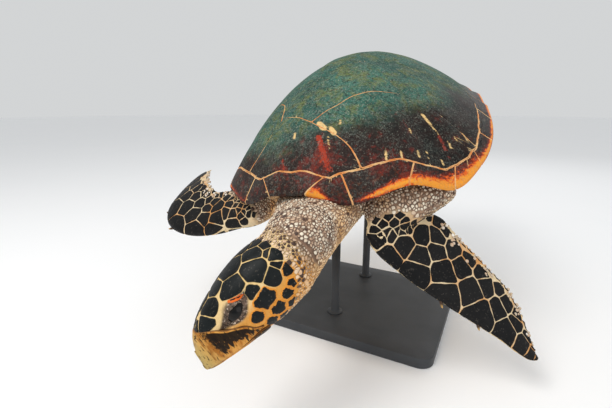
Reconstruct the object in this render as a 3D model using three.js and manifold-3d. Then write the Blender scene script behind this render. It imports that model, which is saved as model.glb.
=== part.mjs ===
// A hawksbill sea turtle: a still, life-size model swimming nose down on a plain display stand.
// Millimetres. Finished frame: +Z up, head toward -Y, the animal's left side toward +X,
// origin at the middle of the stand's underside.
// The animal itself is laid out level, +z through the back of the shell, then pitched and rolled.
import * as THREE from 'three';
import { mergeVertices } from 'three/addons/utils/BufferGeometryUtils.js';
import Module from 'manifold-3d';

const wasm = await Module();
wasm.setup();

// ---- driving dimensions -------------------------------------------------------------------

const GAP = 0.3; // clearance left between touching pieces
const SLIVER = 0.08; // cut edges finer than this are cleared away
const PITCH = THREE.MathUtils.degToRad(17.2); // nose-down swimming angle
const ROLL = THREE.MathUtils.degToRad(7.4); // left side carried higher
const CENTRE = new THREE.Vector3(0, 16, 392); // middle of the shell rim, above the stand

const DOME_RISE = 155; // back of the shell above the rim plane
const DOME_CENTRE_Y = -20; // crown of the shell, a little ahead of the middle
// fullness exponents of the dome toward the front, the sides and the rear
const DOME_SHAPE = { front: [1.7, 0.86], side: [1.6, 1.02], rear: [2.2, 1.0] };
const PLATE = 7; // thickness of shell plates
const UNDER_PLATE = 11.5; // depth of the flesh below the outside of the shell
const RIM_LIP = 6; // thickness of the shell's free edge
const SERRATION = 7; // how far the rear rim plates stand out at their back corners
const TOOTH_AT = 0.86; // where along a plate the saw edge stands out farthest
const RIM_ROUNDING = 1.5; // how far the free edge bulges between its top and underside
const RIM_UNDERCUT = 4; // how far the underside of the free edge stands back
const RIM_CROWN = 0.45; // share of the breadth where the rim plates are tied to the dome
const PLATE_LENGTH = 60; // usual length of a rim plate, for turning clearances into stations
const PLATE_RINGS = [1, 0.55]; // shares of the way to a back plate's edge where it is tied to the dome

// Left half of the rim, one row per joint between rim plates, front to rear: x, y, z.
const RIM = [
  [0, -306, 22], [34, -305, 21], [98, -291, -1], [169, -240, 3], [220, -184, -35],
  [250, -122, -26], [260, -48, -18], [254, 30, -8], [236, 104, 0], [210, 178, 3],
  [173, 248, 5], [126, 309, 6], [64, 352, 7], [6, 360, 6],
];
// Where the rim plates end against the back plates, same order: x, y.
const INNER = [
  [0, -282], [56, -280], [79, -268], [170, -207], [218, -156],
  [239, -111], [242, -55], [231, 28], [207, 98], [178, 165],
  [140, 226], [98, 277], [50, 314], [4, 327],
];
const REAR = RIM.length - 1; // rim position of the rear middle
const SERRATED_FROM = 7; // rim position where the saw edge begins

// Corners of the back plates: x, y.
const CORNER = {
  v12: [36, -193], v2c12: [143, -87], v23: [36, -34], v3c23: [136, 50], v34: [31, 110],
  v4c34: [106, 181], v45: [26, 232],
};
// Rim positions where the seams of the back plates meet the rim plates.
const MEET = { v1c1: 2.32, c12: 5.25, c23: 7.5, c34: 9.5, v5c4: 11.4 };
const SEAM_BULGE = { v1c1: -4, v2c1: 15, v12: 7, v2c2: 4, v3: 4, v4: 3, other: 3 };
const SEAM_STEPS = 4; // straight lengths in each seam
// This animal's plates lean a little at the front of the back: the corners near the middle
// stand to the right, and those on the left stand farther forward.
const LEAN = { y: -193, reach: 95, shift: -29, turn: -0.42 };

// Plastron: half width along the body, y then half width.
const PLASTRON = [
  [-236, 34], [-205, 88], [-150, 128], [-95, 150], [-35, 158], [40, 150],
  [110, 124], [170, 92], [222, 60], [252, 34],
];
const PLASTRON_Z = -70; // lowest line of the belly flesh
const PLASTRON_CUTS = [-236, -176, -96, -8, 92, 182, 252]; // y of the seams between its plates
const PLASTRON_NAMES = ['gular', 'humeral', 'pectoral', 'abdominal', 'femoral', 'anal'];

const HEAD_LENGTH = 168; // beak tip to the back of the skull
const HEAD_REAR = new THREE.Vector3(57, -403, -10);
const HEAD_TURN = [-26.6, 15, -12]; // yaw toward the right, nose down, roll, degrees
// distance from the beak tip, half width, top, bottom
const HEAD = [
  [0, 2.4, -21, -31], [5, 8.5, -4, -33.5], [13, 14.5, 11, -35.5], [25, 21.5, 22, -37.5],
  [42, 28.3, 30.7, -40], [64, 35, 37.7, -43.5], [84, 40.3, 42.6, -46], [109, 44.2, 45.6, -48],
  [134, 44.6, 44.6, -48.5], [168, 41, 39.6, -47],
];
const HEAD_SQUARE = 2.35; // roundness of the head's section, 2 is an ellipse
const HORN = 5; // thickness of the beak's horn
const HORN_SEAT = 1; // hidden clearance behind the horn
const EYE = { radius: 16, back: 68.5, side: 20.5, up: 9 };

// centre x, y, z, half width, half height
const NECK = [
  [14, -205, -32, 84, 40], [20, -262, -31, 78, 42], [30, -312, -28, 64, 42],
  [42, -356, -19, 52, 45], [53, -390, -12, 48, 46], [60, -420, -10, 42, 42],
];
const TAIL = [
  [0, 240, -38, 34, 26], [0, 300, -44, 25, 18], [0, 350, -54, 14, 11], [0, 384, -62, 4, 4],
];

// Flippers: leading edge x, y, z, trailing edge x, y, z, thickness, blade-likeness 0..1
const FRONT_LEFT = [
  [70, -212, -24, 165, -85, -44, 66, 0], [92, -252, -40, 212, -148, -56, 56, 0.1],
  [105, -270, -51, 208, -168, -70, 48, 0.35], [106, -284, -71, 172, -188, -72, 38, 0.6],
  [121, -292, -93, 196, -180, -98, 31, 0.8], [140, -291, -116, 218, -183, -126, 26, 1],
  [166, -288, -146, 240, -184, -156, 23, 1], [196, -282, -178, 264, -185, -188, 20, 1],
  [227, -275, -211, 287, -187, -218, 17, 1], [256, -267, -242, 305, -197, -249, 14.5, 1],
  [282, -263, -267, 317, -212, -275, 12, 1], [302, -263, -287, 325, -226, -292, 10, 1],
  [316, -261, -300, 330, -238, -303, 8, 1], [327, -256, -306, 333, -248, -307, 5, 1],
];
const FRONT_RIGHT = [
  [-62, -215, -29, -165, -95, -36, 66, 0], [-82, -258, -46, -192, -158, -40, 56, 0.1],
  [-112, -276, -57, -196, -190, -30, 48, 0.35], [-146, -281, -64, -205, -210, -25, 40, 0.6],
  [-184, -290, -72, -218, -218, -22, 33, 0.8], [-224, -298, -76, -233, -218, -21, 27, 1],
  [-266, -303, -74, -246, -212, -19, 24, 1], [-306, -299, -66, -259, -202, -16, 21, 1],
  [-335, -283, -56, -271, -190, -13, 18, 1], [-352, -257, -46, -284, -176, -11, 16, 1],
  [-362, -222, -40, -297, -160, -11, 13.5, 1], [-367, -182, -34, -311, -143, -12, 11, 1],
  [-364, -142, -28, -326, -124, -16, 9, 1], [-357, -113, -26, -341, -107, -21, 5, 1],
];
const HIND = [
  [118, 165, -34, 40, 205, -40, 52, 0], [144, 228, -52, 58, 275, -50, 42, 0.2],
  [160, 280, -68, 68, 314, -64, 32, 0.6], [174, 325, -82, 82, 348, -78, 21, 1],
  [184, 362, -93, 96, 384, -90, 16, 1], [186, 398, -101, 112, 418, -99, 12, 1],
  [178, 428, -107, 136, 440, -106, 9, 1], [164, 444, -109, 150, 448, -109, 5, 1],
];
const BLADE_CUT = 4; // flipper station where the arm ends and the blade begins
// claws on the leading edge: flipper station, length
const FRONT_CLAWS = [[7.2, 8], [8.8, 6]];
const HIND_CLAWS = [[3.4, 7], [4.5, 5]];
const CLAW_LEAN = 1.1; // how far a claw turns from straight out toward the flipper's tip
const CLAW_ROOT = 4; // length of claw sunk into the flipper before it is cut flush
const CLAW_WIDTH = 5.6;
const CLAW_SIDES = 8;

const BASE = { width: 430, depth: 330, height: 20, corner: 26 };
const CORNER_STEPS = 4; // straight lengths round each corner of the base
const ROD_RADIUS = 9;
const ROD_SIDES = 16;
const RODS = { front: [0, -88], rear: [0, 112] };
const ROD_SINK = 0.3; // the rods stop this far above the base and below the belly

const COLOUR = {
  shell: 0x3a2218, rim: 0x7a3c14, belly: 0xd9b56a, skin: 0xb9967c, scale: 0x24211f,
  horn: 0xd9a24a, eye: 0x0c0a0a, claw: 0x8a7040, stand: 0x2b2d30,
};

// ---- helpers ------------------------------------------------------------------------------

/** Smooth interpolation through the rows of a table; k counts rows from 0. */
function along(rows, k) {
  const i = Math.min(Math.max(Math.floor(k), 0), rows.length - 2);
  const s = k - i;
  const slope = (n, c) => {
    const a = rows[Math.max(n - 1, 0)][c];
    const b = rows[Math.min(n + 1, rows.length - 1)][c];
    return n === 0 || n === rows.length - 1 ? b - a : (b - a) / 2;
  };
  return rows[0].map((_, c) => {
    const p = rows[i][c];
    const q = rows[i + 1][c];
    const m = slope(i, c);
    const n = slope(i + 1, c);
    return (2 * s ** 3 - 3 * s ** 2 + 1) * p + (s ** 3 - 2 * s ** 2 + s) * m
      + (3 * s ** 2 - 2 * s ** 3) * q + (s ** 3 - s ** 2) * n;
  });
}

/** A closed geometry from rings of points, each ring the same length, ends closed by fans. */
function loft(rings, capped = true) {
  const count = rings[0].length;
  const points = rings.flat();
  const index = [];
  const rows = capped ? rings.length - 1 : rings.length;
  for (let r = 0; r < rows; r += 1) {
    const low = r * count;
    const high = ((r + 1) % rings.length) * count;
    for (let j = 0; j < count; j += 1) {
      const next = (j + 1) % count;
      index.push(low + j, low + next, high + next, low + j, high + next, high + j);
    }
  }
  if (capped) {
    const ends = [0, (rings.length - 1) * count];
    ends.forEach((start, end) => {
      const middle = new THREE.Vector3();
      rings[end === 0 ? 0 : rings.length - 1].forEach((p) => middle.addScaledVector(p, 1 / count));
      points.push(middle);
      for (let j = 0; j < count; j += 1) {
        const a = start + j;
        const b = start + ((j + 1) % count);
        index.push(points.length - 1, ...(end === 0 ? [b, a] : [a, b]));
      }
    });
  }
  return indexed(points, index);
}

/** Geometry from points and triangles, turned right side out. */
function indexed(points, index) {
  let volume = 0;
  for (let i = 0; i < index.length; i += 3) {
    const [a, b, c] = [points[index[i]], points[index[i + 1]], points[index[i + 2]]];
    volume += a.dot(b.clone().cross(c));
  }
  if (volume < 0) {
    index.reverse();
  }
  const geometry = new THREE.BufferGeometry();
  const flat = points.flatMap((p) => [p.x, p.y, p.z]);
  geometry.setAttribute('position', new THREE.Float32BufferAttribute(flat, 3));
  geometry.setIndex(index);
  return geometry;
}

/** A geometry as a solid for cutting. */
function toSolid(geometry) {
  const bare = geometry.clone();
  bare.deleteAttribute('normal');
  bare.deleteAttribute('uv');
  const merged = mergeVertices(bare, 1e-4);
  return new wasm.Manifold(new wasm.Mesh({
    numProp: 3,
    vertProperties: new Float32Array(merged.attributes.position.array),
    triVerts: new Uint32Array(merged.index.array),
  }));
}

/** The largest single piece of a cut solid, freed of slivers, back as a geometry. */
function toGeometry(solid) {
  const pieces = solid.simplify(SLIVER).decompose();
  pieces.sort((a, b) => b.volume() - a.volume());
  const mesh = pieces[0].getMesh();
  const geometry = new THREE.BufferGeometry();
  geometry.setAttribute('position', new THREE.BufferAttribute(mesh.vertProperties, 3));
  geometry.setIndex(new THREE.BufferAttribute(mesh.triVerts, 1));
  return geometry;
}

/** Signed power, the rounding of a superellipse. */
function power(value, exponent) {
  return Math.sign(value) * Math.abs(value) ** exponent;
}

const group = new THREE.Group();
group.name = 'hawksbill_turtle';
const animal = new THREE.Group();
animal.name = 'animal';
animal.rotation.set(PITCH, -ROLL, 0, 'XYZ');
animal.position.copy(CENTRE);
group.add(animal);

/** Names a geometry and puts it in a group. */
function add(name, geometry, colour, parent = animal) {
  const mesh = new THREE.Mesh(geometry, new THREE.MeshStandardMaterial({ color: colour }));
  mesh.name = name;
  mesh.geometry.computeVertexNormals();
  parent.add(mesh);
  return mesh;
}

// ---- shell surface ------------------------------------------------------------------------

const RIM_SAMPLES = Array.from({ length: 521 }, (_, i) => {
  const k = (i / 520) * REAR;
  const [x, y, z] = along(RIM, k);
  return { angle: Math.atan2(x, DOME_CENTRE_Y - y), reach: Math.hypot(x, y - DOME_CENTRE_Y), z };
});

/** Reach and height of the rim at an angle from straight ahead. */
function rimAt(angle) {
  const a = Math.abs(angle);
  const last = RIM_SAMPLES.length - 1;
  let i = RIM_SAMPLES.findIndex((s) => s.angle >= a);
  if (i === -1) {
    i = last;
  }
  if (i === 0) {
    i = 1;
  }
  const p = RIM_SAMPLES[i - 1];
  const q = RIM_SAMPLES[i];
  const t = THREE.MathUtils.clamp((a - p.angle) / (q.angle - p.angle), 0, 1);
  return { reach: p.reach + (q.reach - p.reach) * t, z: p.z + (q.z - p.z) * t };
}

/** Height of the shell's outside over a point of the plan. */
function shellHeight(x, y) {
  const angle = Math.atan2(x, DOME_CENTRE_Y - y);
  const rim = rimAt(angle);
  const rho = Math.min(Math.hypot(x, y - DOME_CENTRE_Y) / rim.reach, 1);
  const front = Math.max(Math.cos(angle), 0) ** 2;
  const rear = Math.max(-Math.cos(angle), 0) ** 2;
  const side = 1 - front - rear;
  const mix = (n) => DOME_SHAPE.front[n] * front + DOME_SHAPE.side[n] * side + DOME_SHAPE.rear[n] * rear;
  return DOME_RISE * (1 - rho ** mix(0)) ** mix(1) + rim.z * rho ** 3;
}

/** A point on the shell's outside, or a depth below it along the surface's own normal. */
function onShell(x, y, depth = 0) {
  const step = 2;
  const slopeX = (shellHeight(x + step, y) - shellHeight(x - step, y)) / (2 * step);
  const slopeY = (shellHeight(x, y + step) - shellHeight(x, y - step)) / (2 * step);
  const normal = new THREE.Vector3(-slopeX, -slopeY, 1).normalize();
  return new THREE.Vector3(x, y, shellHeight(x, y)).addScaledVector(normal, -depth);
}

// ---- rim plates ---------------------------------------------------------------------------

/** Extra reach of the saw edge at a rim position: each rear plate stands out at its back. */
function sawTooth(k) {
  const fade = THREE.MathUtils.clamp((k - SERRATED_FROM) / 2, 0, 1);
  const along01 = k - Math.floor(k);
  const rise = along01 < TOOTH_AT ? along01 / TOOTH_AT : (1 - along01) / (1 - TOOTH_AT);
  return k >= REAR ? 0 : fade * SERRATION * rise;
}

/** The closed section of the rim plates at a rim position on one side, grown by a clearance. */
function rimSection(k, side, grow = 0) {
  const [rx, ry, rz] = along(RIM, k);
  const [ix, iy] = along(INNER, k);
  const out = new THREE.Vector2(rx - ix, ry - iy).normalize();
  const tooth = sawTooth(k);
  const at = (t) => [ix + (rx - ix) * t, iy + (ry - iy) * t];
  const inset = GAP / 2 - grow;
  const inner = onShell(ix + out.x * inset, iy + out.y * inset, -grow);
  const innerLow = onShell(ix + out.x * inset, iy + out.y * inset, PLATE + grow);
  const crown = onShell(...at(RIM_CROWN), -grow);
  const rim = new THREE.Vector3(rx + out.x * (tooth + grow), ry + out.y * (tooth + grow), rz + grow);
  const edge = rim.clone();
  edge.z -= RIM_LIP * 0.6 + grow;
  edge.addScaledVector(new THREE.Vector3(out.x, out.y, 0), RIM_ROUNDING);
  const under = rim.clone();
  under.z -= RIM_LIP + 2 * grow;
  under.addScaledVector(new THREE.Vector3(out.x, out.y, 0), -RIM_UNDERCUT);
  const ring = [inner, crown, rim, edge, under, innerLow];
  return ring.map((p) => new THREE.Vector3(p.x * side, p.y, p.z));
}

const PLATE_STEPS = [0, 0.5, TOOTH_AT];

/** Rim positions sampled between two joints. */
function rimStations(from, to) {
  const stations = [];
  for (let k = Math.floor(from); k < to; k += 1) {
    PLATE_STEPS.forEach((s) => stations.push(k + s));
  }
  const extra = Object.values(MEET);
  const kept = [...stations, ...extra, to].filter((k) => k >= from && k <= to);
  return [...new Set(kept)].sort((a, b) => a - b);
}

const PLATE_TRIM = GAP / 2 / PLATE_LENGTH; // half the clearance, in stations
/** A run of rim plates on one side. */
function rimRun(from, to, side) {
  const stations = rimStations(from, to);
  stations[0] += PLATE_TRIM;
  stations[stations.length - 1] -= PLATE_TRIM;
  return loft(stations.map((k) => rimSection(k, side)));
}

const nuchalHalf = rimStations(0, 1);
nuchalHalf[nuchalHalf.length - 1] -= PLATE_TRIM;
const nuchalRings = [
  ...nuchalHalf.slice(1).reverse().map((k) => rimSection(k, -1)),
  ...nuchalHalf.map((k) => rimSection(k, 1)),
];
add('shell_nuchal_plate', loft(nuchalRings), COLOUR.rim);
const SIDES = [['left', 1], ['right', -1]];
SIDES.forEach(([word, side]) => {
  add(`shell_rim_plates_front_${word}`, rimRun(1, 4, side), COLOUR.rim);
  add(`shell_rim_plates_bridge_${word}`, rimRun(4, 8, side), COLOUR.rim);
  add(`shell_rim_plates_rear_${word}`, rimRun(8, REAR, side), COLOUR.rim);
});

// ---- back plates --------------------------------------------------------------------------

/** Points of a seam from a to b, a left out, bowed sideways by a bulge. */
function seam(a, b, bulge = SEAM_BULGE.other, steps = SEAM_STEPS) {
  const length = Math.hypot(b[0] - a[0], b[1] - a[1]);
  const normal = [-(b[1] - a[1]) / length, (b[0] - a[0]) / length];
  return Array.from({ length: steps }, (_, i) => {
    const t = (i + 1) / steps;
    const bow = bulge * 4 * t * (1 - t);
    return [a[0] + (b[0] - a[0]) * t + normal[0] * bow, a[1] + (b[1] - a[1]) * t + normal[1] * bow];
  });
}

/** Points along the inner line of the rim plates, the first left out. */
function innerLine(from, to) {
  const forward = rimStations(Math.min(from, to), Math.max(from, to));
  const order = from < to ? forward : forward.reverse();
  return order.slice(1).map((k) => along(INNER, k).slice(0, 2));
}

const innerPoint = (k) => along(INNER, k).slice(0, 2);
const backward = (line, start) => [start, ...line].reverse().slice(1);
const mirror = (line) => line.map(([x, y]) => [-x, y]);

/** A point of the plan moved by the lean of the front plates, which dies away toward the rim. */
function leaned([x, y]) {
  const away = Math.hypot(x, y - LEAN.y) / LEAN.reach;
  const share = Math.max(1 - away ** 2, 0) ** 2;
  return [x + LEAN.shift * share, y + LEAN.turn * x * share];
}

/** A plate of the back: outside, underside and edge wall over an outline in plan. */
function backPlate(plan) {
  const outline = plan.map(leaned);
  const mean = (c) => outline.reduce((sum, p) => sum + p[c], 0) / outline.length;
  const middle = [mean(0), mean(1)];
  const layer = (depth) => PLATE_RINGS.map((share) => outline.map(([x, y]) => {
    const dx = x - middle[0];
    const dy = y - middle[1];
    const reach = Math.hypot(dx, dy);
    const scale = share * (1 - (GAP * 0.75) / reach);
    return onShell(middle[0] + dx * scale, middle[1] + dy * scale, depth);
  }));
  const top = layer(0).reverse();
  const bottom = layer(PLATE);
  const geometry = loft([...top, ...bottom]);
  const position = geometry.attributes.position;
  const count = outline.length * PLATE_RINGS.length * 2;
  [[count, 0], [count + 1, PLATE]].forEach(([slot, depth]) => {
    const p = onShell(middle[0], middle[1], depth);
    position.setXYZ(slot, p.x, p.y, p.z);
  });
  return geometry;
}

const C = CORNER;
const left = {
  v1c1: seam(innerPoint(MEET.v1c1), C.v12, SEAM_BULGE.v1c1),
  v2c1: seam(C.v12, C.v2c12, SEAM_BULGE.v2c1),
  c12: seam(C.v2c12, innerPoint(MEET.c12)),
  v2c2: seam(C.v2c12, C.v23, SEAM_BULGE.v2c2),
  v3c2: seam(C.v23, C.v3c23, SEAM_BULGE.v3),
  c23: seam(C.v3c23, innerPoint(MEET.c23)),
  v3c3: seam(C.v3c23, C.v34, SEAM_BULGE.v3),
  v4c3: seam(C.v34, C.v4c34, SEAM_BULGE.v4),
  c34: seam(C.v4c34, innerPoint(MEET.c34)),
  v4c4: seam(C.v4c34, C.v45, SEAM_BULGE.v4),
  v5c4: seam(C.v45, innerPoint(MEET.v5c4), SEAM_BULGE.v4),
};
/** A seam straight across the back between a left corner and its twin. */
const across = (corner, bow) => seam(corner, [-corner[0], corner[1]], bow);

/** Outline of a plate that lies across the middle of the back. */
function middlePlate(frontCorner, frontLine, leftLine, rearLine) {
  const rightCorner = [-frontCorner[0], frontCorner[1]];
  const rightLine = backward(mirror(leftLine), rightCorner);
  return [...leftLine, ...rearLine, ...rightLine, rightCorner, ...backward(frontLine, frontCorner)];
}

const frontEdge = innerLine(0, MEET.v1c1);
const rearEdge = innerLine(MEET.v5c4, REAR);
const vertebral1 = [
  ...frontEdge, ...left.v1c1, ...across(C.v12, -SEAM_BULGE.v12),
  ...backward(mirror(left.v1c1), mirror([innerPoint(MEET.v1c1)])[0]),
  mirror([innerPoint(MEET.v1c1)])[0], ...backward(mirror(frontEdge), [0, innerPoint(0)[1]]),
];
const vertebral5 = [
  ...left.v5c4, ...rearEdge, ...backward(mirror(rearEdge), mirror([innerPoint(MEET.v5c4)])[0]),
  mirror([innerPoint(MEET.v5c4)])[0], ...backward(mirror(left.v5c4), [-C.v45[0], C.v45[1]]),
  [-C.v45[0], C.v45[1]], ...backward(across(C.v45, SEAM_BULGE.v4), C.v45),
];
const crossing = {
  v12: across(C.v12, -SEAM_BULGE.v12),
  v23: across(C.v23, -SEAM_BULGE.v3),
  v34: across(C.v34, -SEAM_BULGE.v4),
  v45: across(C.v45, SEAM_BULGE.v4),
};
const middleOutlines = [
  vertebral1,
  middlePlate(C.v12, crossing.v12, [...left.v2c1, ...left.v2c2], crossing.v23),
  middlePlate(C.v23, crossing.v23, [...left.v3c2, ...left.v3c3], crossing.v34),
  middlePlate(C.v34, crossing.v34, [...left.v4c3, ...left.v4c4], crossing.v45),
  vertebral5,
];
middleOutlines.forEach((outline, i) => {
  add(`shell_vertebral_plate_${i + 1}`, backPlate(outline), COLOUR.shell);
});

const sideOutlines = [
  [...innerLine(MEET.v1c1, MEET.c12), ...backward(left.c12, C.v2c12), C.v2c12,
    ...backward(left.v2c1, C.v12), C.v12, ...backward(left.v1c1, innerPoint(MEET.v1c1)),
    innerPoint(MEET.v1c1)],
  [...innerLine(MEET.c12, MEET.c23), ...backward(left.c23, C.v3c23), C.v3c23,
    ...backward(left.v3c2, C.v23), C.v23, ...backward(left.v2c2, C.v2c12), C.v2c12, ...left.c12],
  [...innerLine(MEET.c23, MEET.c34), ...backward(left.c34, C.v4c34), C.v4c34,
    ...backward(left.v4c3, C.v34), C.v34, ...backward(left.v3c3, C.v3c23), C.v3c23, ...left.c23],
  [...innerLine(MEET.c34, MEET.v5c4), ...backward(left.v5c4, C.v45), C.v45,
    ...backward(left.v4c4, C.v4c34), C.v4c34, ...left.c34],
];
SIDES.forEach(([word, side]) => {
  sideOutlines.forEach((outline, i) => {
    const placed = side === 1 ? outline : mirror(outline);
    add(`shell_costal_plate_${i + 1}_${word}`, backPlate(placed), COLOUR.shell);
  });
});

// ---- trunk and plastron -------------------------------------------------------------------

/** Reach of a left-half outline (front to rear) at angles from straight ahead. */
function reachTable(outline) {
  return outline.map(([x, y]) => ({
    angle: Math.atan2(Math.max(x, 0), DOME_CENTRE_Y - y), reach: Math.hypot(x, y - DOME_CENTRE_Y),
  }));
}

/** Interpolated reach at an angle. */
function reachAt(table, angle) {
  const a = THREE.MathUtils.clamp(Math.abs(angle), table[0].angle, table[table.length - 1].angle);
  let i = table.findIndex((s) => s.angle >= a);
  i = Math.max(i, 1);
  const p = table[i - 1];
  const q = table[i];
  return p.reach + ((q.reach - p.reach) * (a - p.angle)) / (q.angle - p.angle);
}

const innerTable = reachTable(Array.from({ length: 131 }, (_, i) => along(INNER, (i / 130) * REAR)));
const plastronEdge = Array.from({ length: 55 }, (_, i) => {
  const [y, half] = along(PLASTRON, (i / 54) * (PLASTRON.length - 1));
  return [half, y];
});
const plastronTable = reachTable([
  [0, PLASTRON[0][0]], ...plastronEdge, [0, PLASTRON[PLASTRON.length - 1][0]],
]);

// how far the belly rises toward its sides and toward its ends, from a middle at y
const BELLY_BOWL = { side: 7, halfWidth: 150, end: 8, halfLength: 245, y: 10 };
/** Height of the belly flesh, a shallow bowl. */
function bellyHeight(x, y) {
  const { side, halfWidth, end, halfLength, y: middle } = BELLY_BOWL;
  return PLASTRON_Z + side * (x / halfWidth) ** 2 + end * ((y - middle) / halfLength) ** 2;
}

/** Half width of the plastron at a y. */
function plastronHalf(y) {
  let i = PLASTRON.findIndex((row) => row[0] >= y);
  i = Math.max(i, 1);
  const t = (y - PLASTRON[i - 1][0]) / (PLASTRON[i][0] - PLASTRON[i - 1][0]);
  return along(PLASTRON, i - 1 + t)[1];
}

const TRUNK_ANGLES = 32;
const TRUNK_CLEARANCE = 0.6; // room left round the trunk
const TRUNK_WALL = { inside: 14, front: 36, rear: 30 }; // how far the wall stands inside the rim
const TRUNK_TOP = { below: 9, front: 4, most: 3 }; // where the wall starts, below the rim
const TRUNK_LOW = { share: 0.97, below: 24, least: -50 }; // the wall's fullest line
const TRUNK_TURN = { share: 0.55, above: 8, below: 20 }; // halfway round to the belly
const TRUNK_FOOT = { share: 0.99, above: 5 }; // where the wall reaches the belly
/** The flesh inside the shell, grown by a clearance. */
function trunk(grow = 0) {
  const polar = (angle, reach) => [Math.sin(angle) * reach, DOME_CENTRE_Y - Math.cos(angle) * reach];
  const column = (angle) => {
    const front = Math.max(Math.cos(angle), 0);
    const rear = Math.max(-Math.cos(angle), 0);
    const inner = reachAt(innerTable, angle);
    const rim = rimAt(angle);
    const belly = reachAt(plastronTable, angle);
    const wall = rim.reach - TRUNK_WALL.inside - TRUNK_WALL.front * front ** 2 - TRUNK_WALL.rear * rear ** 2;
    const points = [0.22, 0.46, 0.72, 0.96].map((share) => {
      const [x, y] = polar(angle, inner * share);
      return onShell(x, y, UNDER_PLATE - grow);
    });
    const level = (reach, z) => {
      const [x, y] = polar(angle, reach);
      points.push(new THREE.Vector3(x, y, z));
    };
    const top = Math.min(rim.z - TRUNK_TOP.below - TRUNK_TOP.front * front, TRUNK_TOP.most);
    level(Math.min(wall, inner) + grow, top);
    level(wall * TRUNK_LOW.share + grow, Math.max(rim.z - TRUNK_LOW.below, TRUNK_LOW.least) - grow);
    const turning = wall * TRUNK_TURN.share + belly * (1 - TRUNK_TURN.share);
    level(turning + grow, (rim.z - TRUNK_TURN.below + PLASTRON_Z + TRUNK_TURN.above) / 2 - grow);
    const [ex, ey] = polar(angle, belly * TRUNK_FOOT.share + grow);
    points.push(new THREE.Vector3(ex, ey, bellyHeight(ex, ey) + TRUNK_FOOT.above - grow));
    [0.9, 0.62, 0.3].forEach((share) => {
      const [x, y] = polar(angle, belly * share);
      points.push(new THREE.Vector3(x, y, bellyHeight(x, y) - grow));
    });
    return points;
  };
  const columns = Array.from({ length: TRUNK_ANGLES }, (_, i) => {
    const angle = -Math.PI + (2 * Math.PI * i) / TRUNK_ANGLES;
    return column(angle);
  });
  const rings = columns[0].map((_, r) => columns.map((points) => points[r]));
  return loft(rings);
}
const trunkGeometry = trunk();
const trunkRoom = toSolid(trunk(TRUNK_CLEARANCE));
add('trunk', trunkGeometry, COLOUR.skin);

/** A slab between two grids of points of the same shape. */
function slab(top, bottom) {
  const rows = top.length;
  const cols = top[0].length;
  const points = [...top.flat(), ...bottom.flat()];
  const low = rows * cols;
  const index = [];
  for (let r = 0; r < rows - 1; r += 1) {
    for (let c = 0; c < cols - 1; c += 1) {
      const a = r * cols + c;
      const [b, d, e] = [a + 1, a + cols, a + cols + 1];
      index.push(a, b, e, a, e, d, low + a, low + e, low + b, low + a, low + d, low + e);
    }
  }
  const edge = [];
  for (let c = 0; c < cols - 1; c += 1) {
    edge.push([c + 1, c], [(rows - 1) * cols + c, (rows - 1) * cols + c + 1]);
  }
  for (let r = 0; r < rows - 1; r += 1) {
    edge.push([r * cols, (r + 1) * cols], [(r + 2) * cols - 1, (r + 1) * cols - 1]);
  }
  edge.forEach(([a, b]) => index.push(a, b, low + b, a, low + b, low + a));
  return indexed(points, index);
}

const BELLY_PLATE = 6;
const BELLY_COLUMNS = [-1, -0.5, 0, 0.5, 1];
const BELLY_SEAT = 0.7; // the plates start this far below the flesh
const BELLY_GROOVE = 0.8; // depth of the groove between left and right plates
const PLASTRON_ENDS = [PLASTRON_CUTS[0], PLASTRON_CUTS[PLASTRON_CUTS.length - 1]];
/** One pair of plastron plates, joined along the middle, between two cuts. */
function bellyPlate(from, to, grow = 0) {
  const rows = 3;
  const start = from + GAP / 2 - grow;
  const span = to - from - GAP + 2 * grow;
  const grid = (drop, groove) => Array.from({ length: rows }, (_, r) => {
    const y = start + (span * r) / (rows - 1);
    const half = plastronHalf(THREE.MathUtils.clamp(y, ...PLASTRON_ENDS)) + grow;
    return BELLY_COLUMNS.map((share) => {
      const x = share * half;
      return new THREE.Vector3(x, y, bellyHeight(x, y) - drop + (share === 0 ? groove : 0));
    });
  });
  return slab(grid(BELLY_SEAT - grow, 0), grid(BELLY_SEAT + BELLY_PLATE + grow, BELLY_GROOVE));
}
const bellyRuns = PLASTRON_NAMES.map((_, i) => [PLASTRON_CUTS[i], PLASTRON_CUTS[i + 1]]);
const bellyRoom = bellyRuns.map(([from, to]) => toSolid(bellyPlate(from, to, GAP)))
  .reduce((whole, piece) => whole.add(piece));
bellyRuns.forEach(([from, to], i) => {
  add(`plastron_${PLASTRON_NAMES[i]}_plates`, bellyPlate(from, to), COLOUR.belly);
});

// y where the bridge starts and ends, its clearances, its bow outward and down, its plates' depth
const BRIDGE = { from: -104, to: 98, fromBelly: 1.2, fromRim: 16, belowRim: 12, foot: 3, bow: 1.4 };
const BRIDGE_LAYERS = { outside: 0.5, inside: -7 };
const BRIDGE_OUT = [0.55, 0.8, 0.6]; // direction of its thickness: outward, down, less so toward the rim
/** The bridge plates that join plastron and rim on one side. */
function bridge(side, grow = 0) {
  const from = BRIDGE.from - grow;
  const to = BRIDGE.to + grow;
  const rows = 6;
  const grid = (out) => Array.from({ length: rows }, (_, r) => {
    const y = from + ((to - from) * r) / (rows - 1);
    const low = plastronHalf(y) + BRIDGE.fromBelly - grow;
    const angle = Math.atan2(low, DOME_CENTRE_Y - y);
    const rim = rimAt(angle);
    const high = rim.reach * Math.sin(angle) - BRIDGE.fromRim + grow;
    const top = rim.z - BRIDGE.belowRim;
    return [0, 0.33, 0.66, 1].map((share) => {
      const x = low + (high - low) * share;
      const belly = bellyHeight(low, y) - BRIDGE.foot;
      const z = belly + (top - belly) * share ** BRIDGE.bow;
      const [outward, down, less] = BRIDGE_OUT;
      return new THREE.Vector3((x + out * outward) * side, y, z - out * down * (1 - share * less));
    });
  });
  return slab(grid(BRIDGE_LAYERS.inside - grow), grid(BRIDGE_LAYERS.outside + grow));
}
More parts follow.
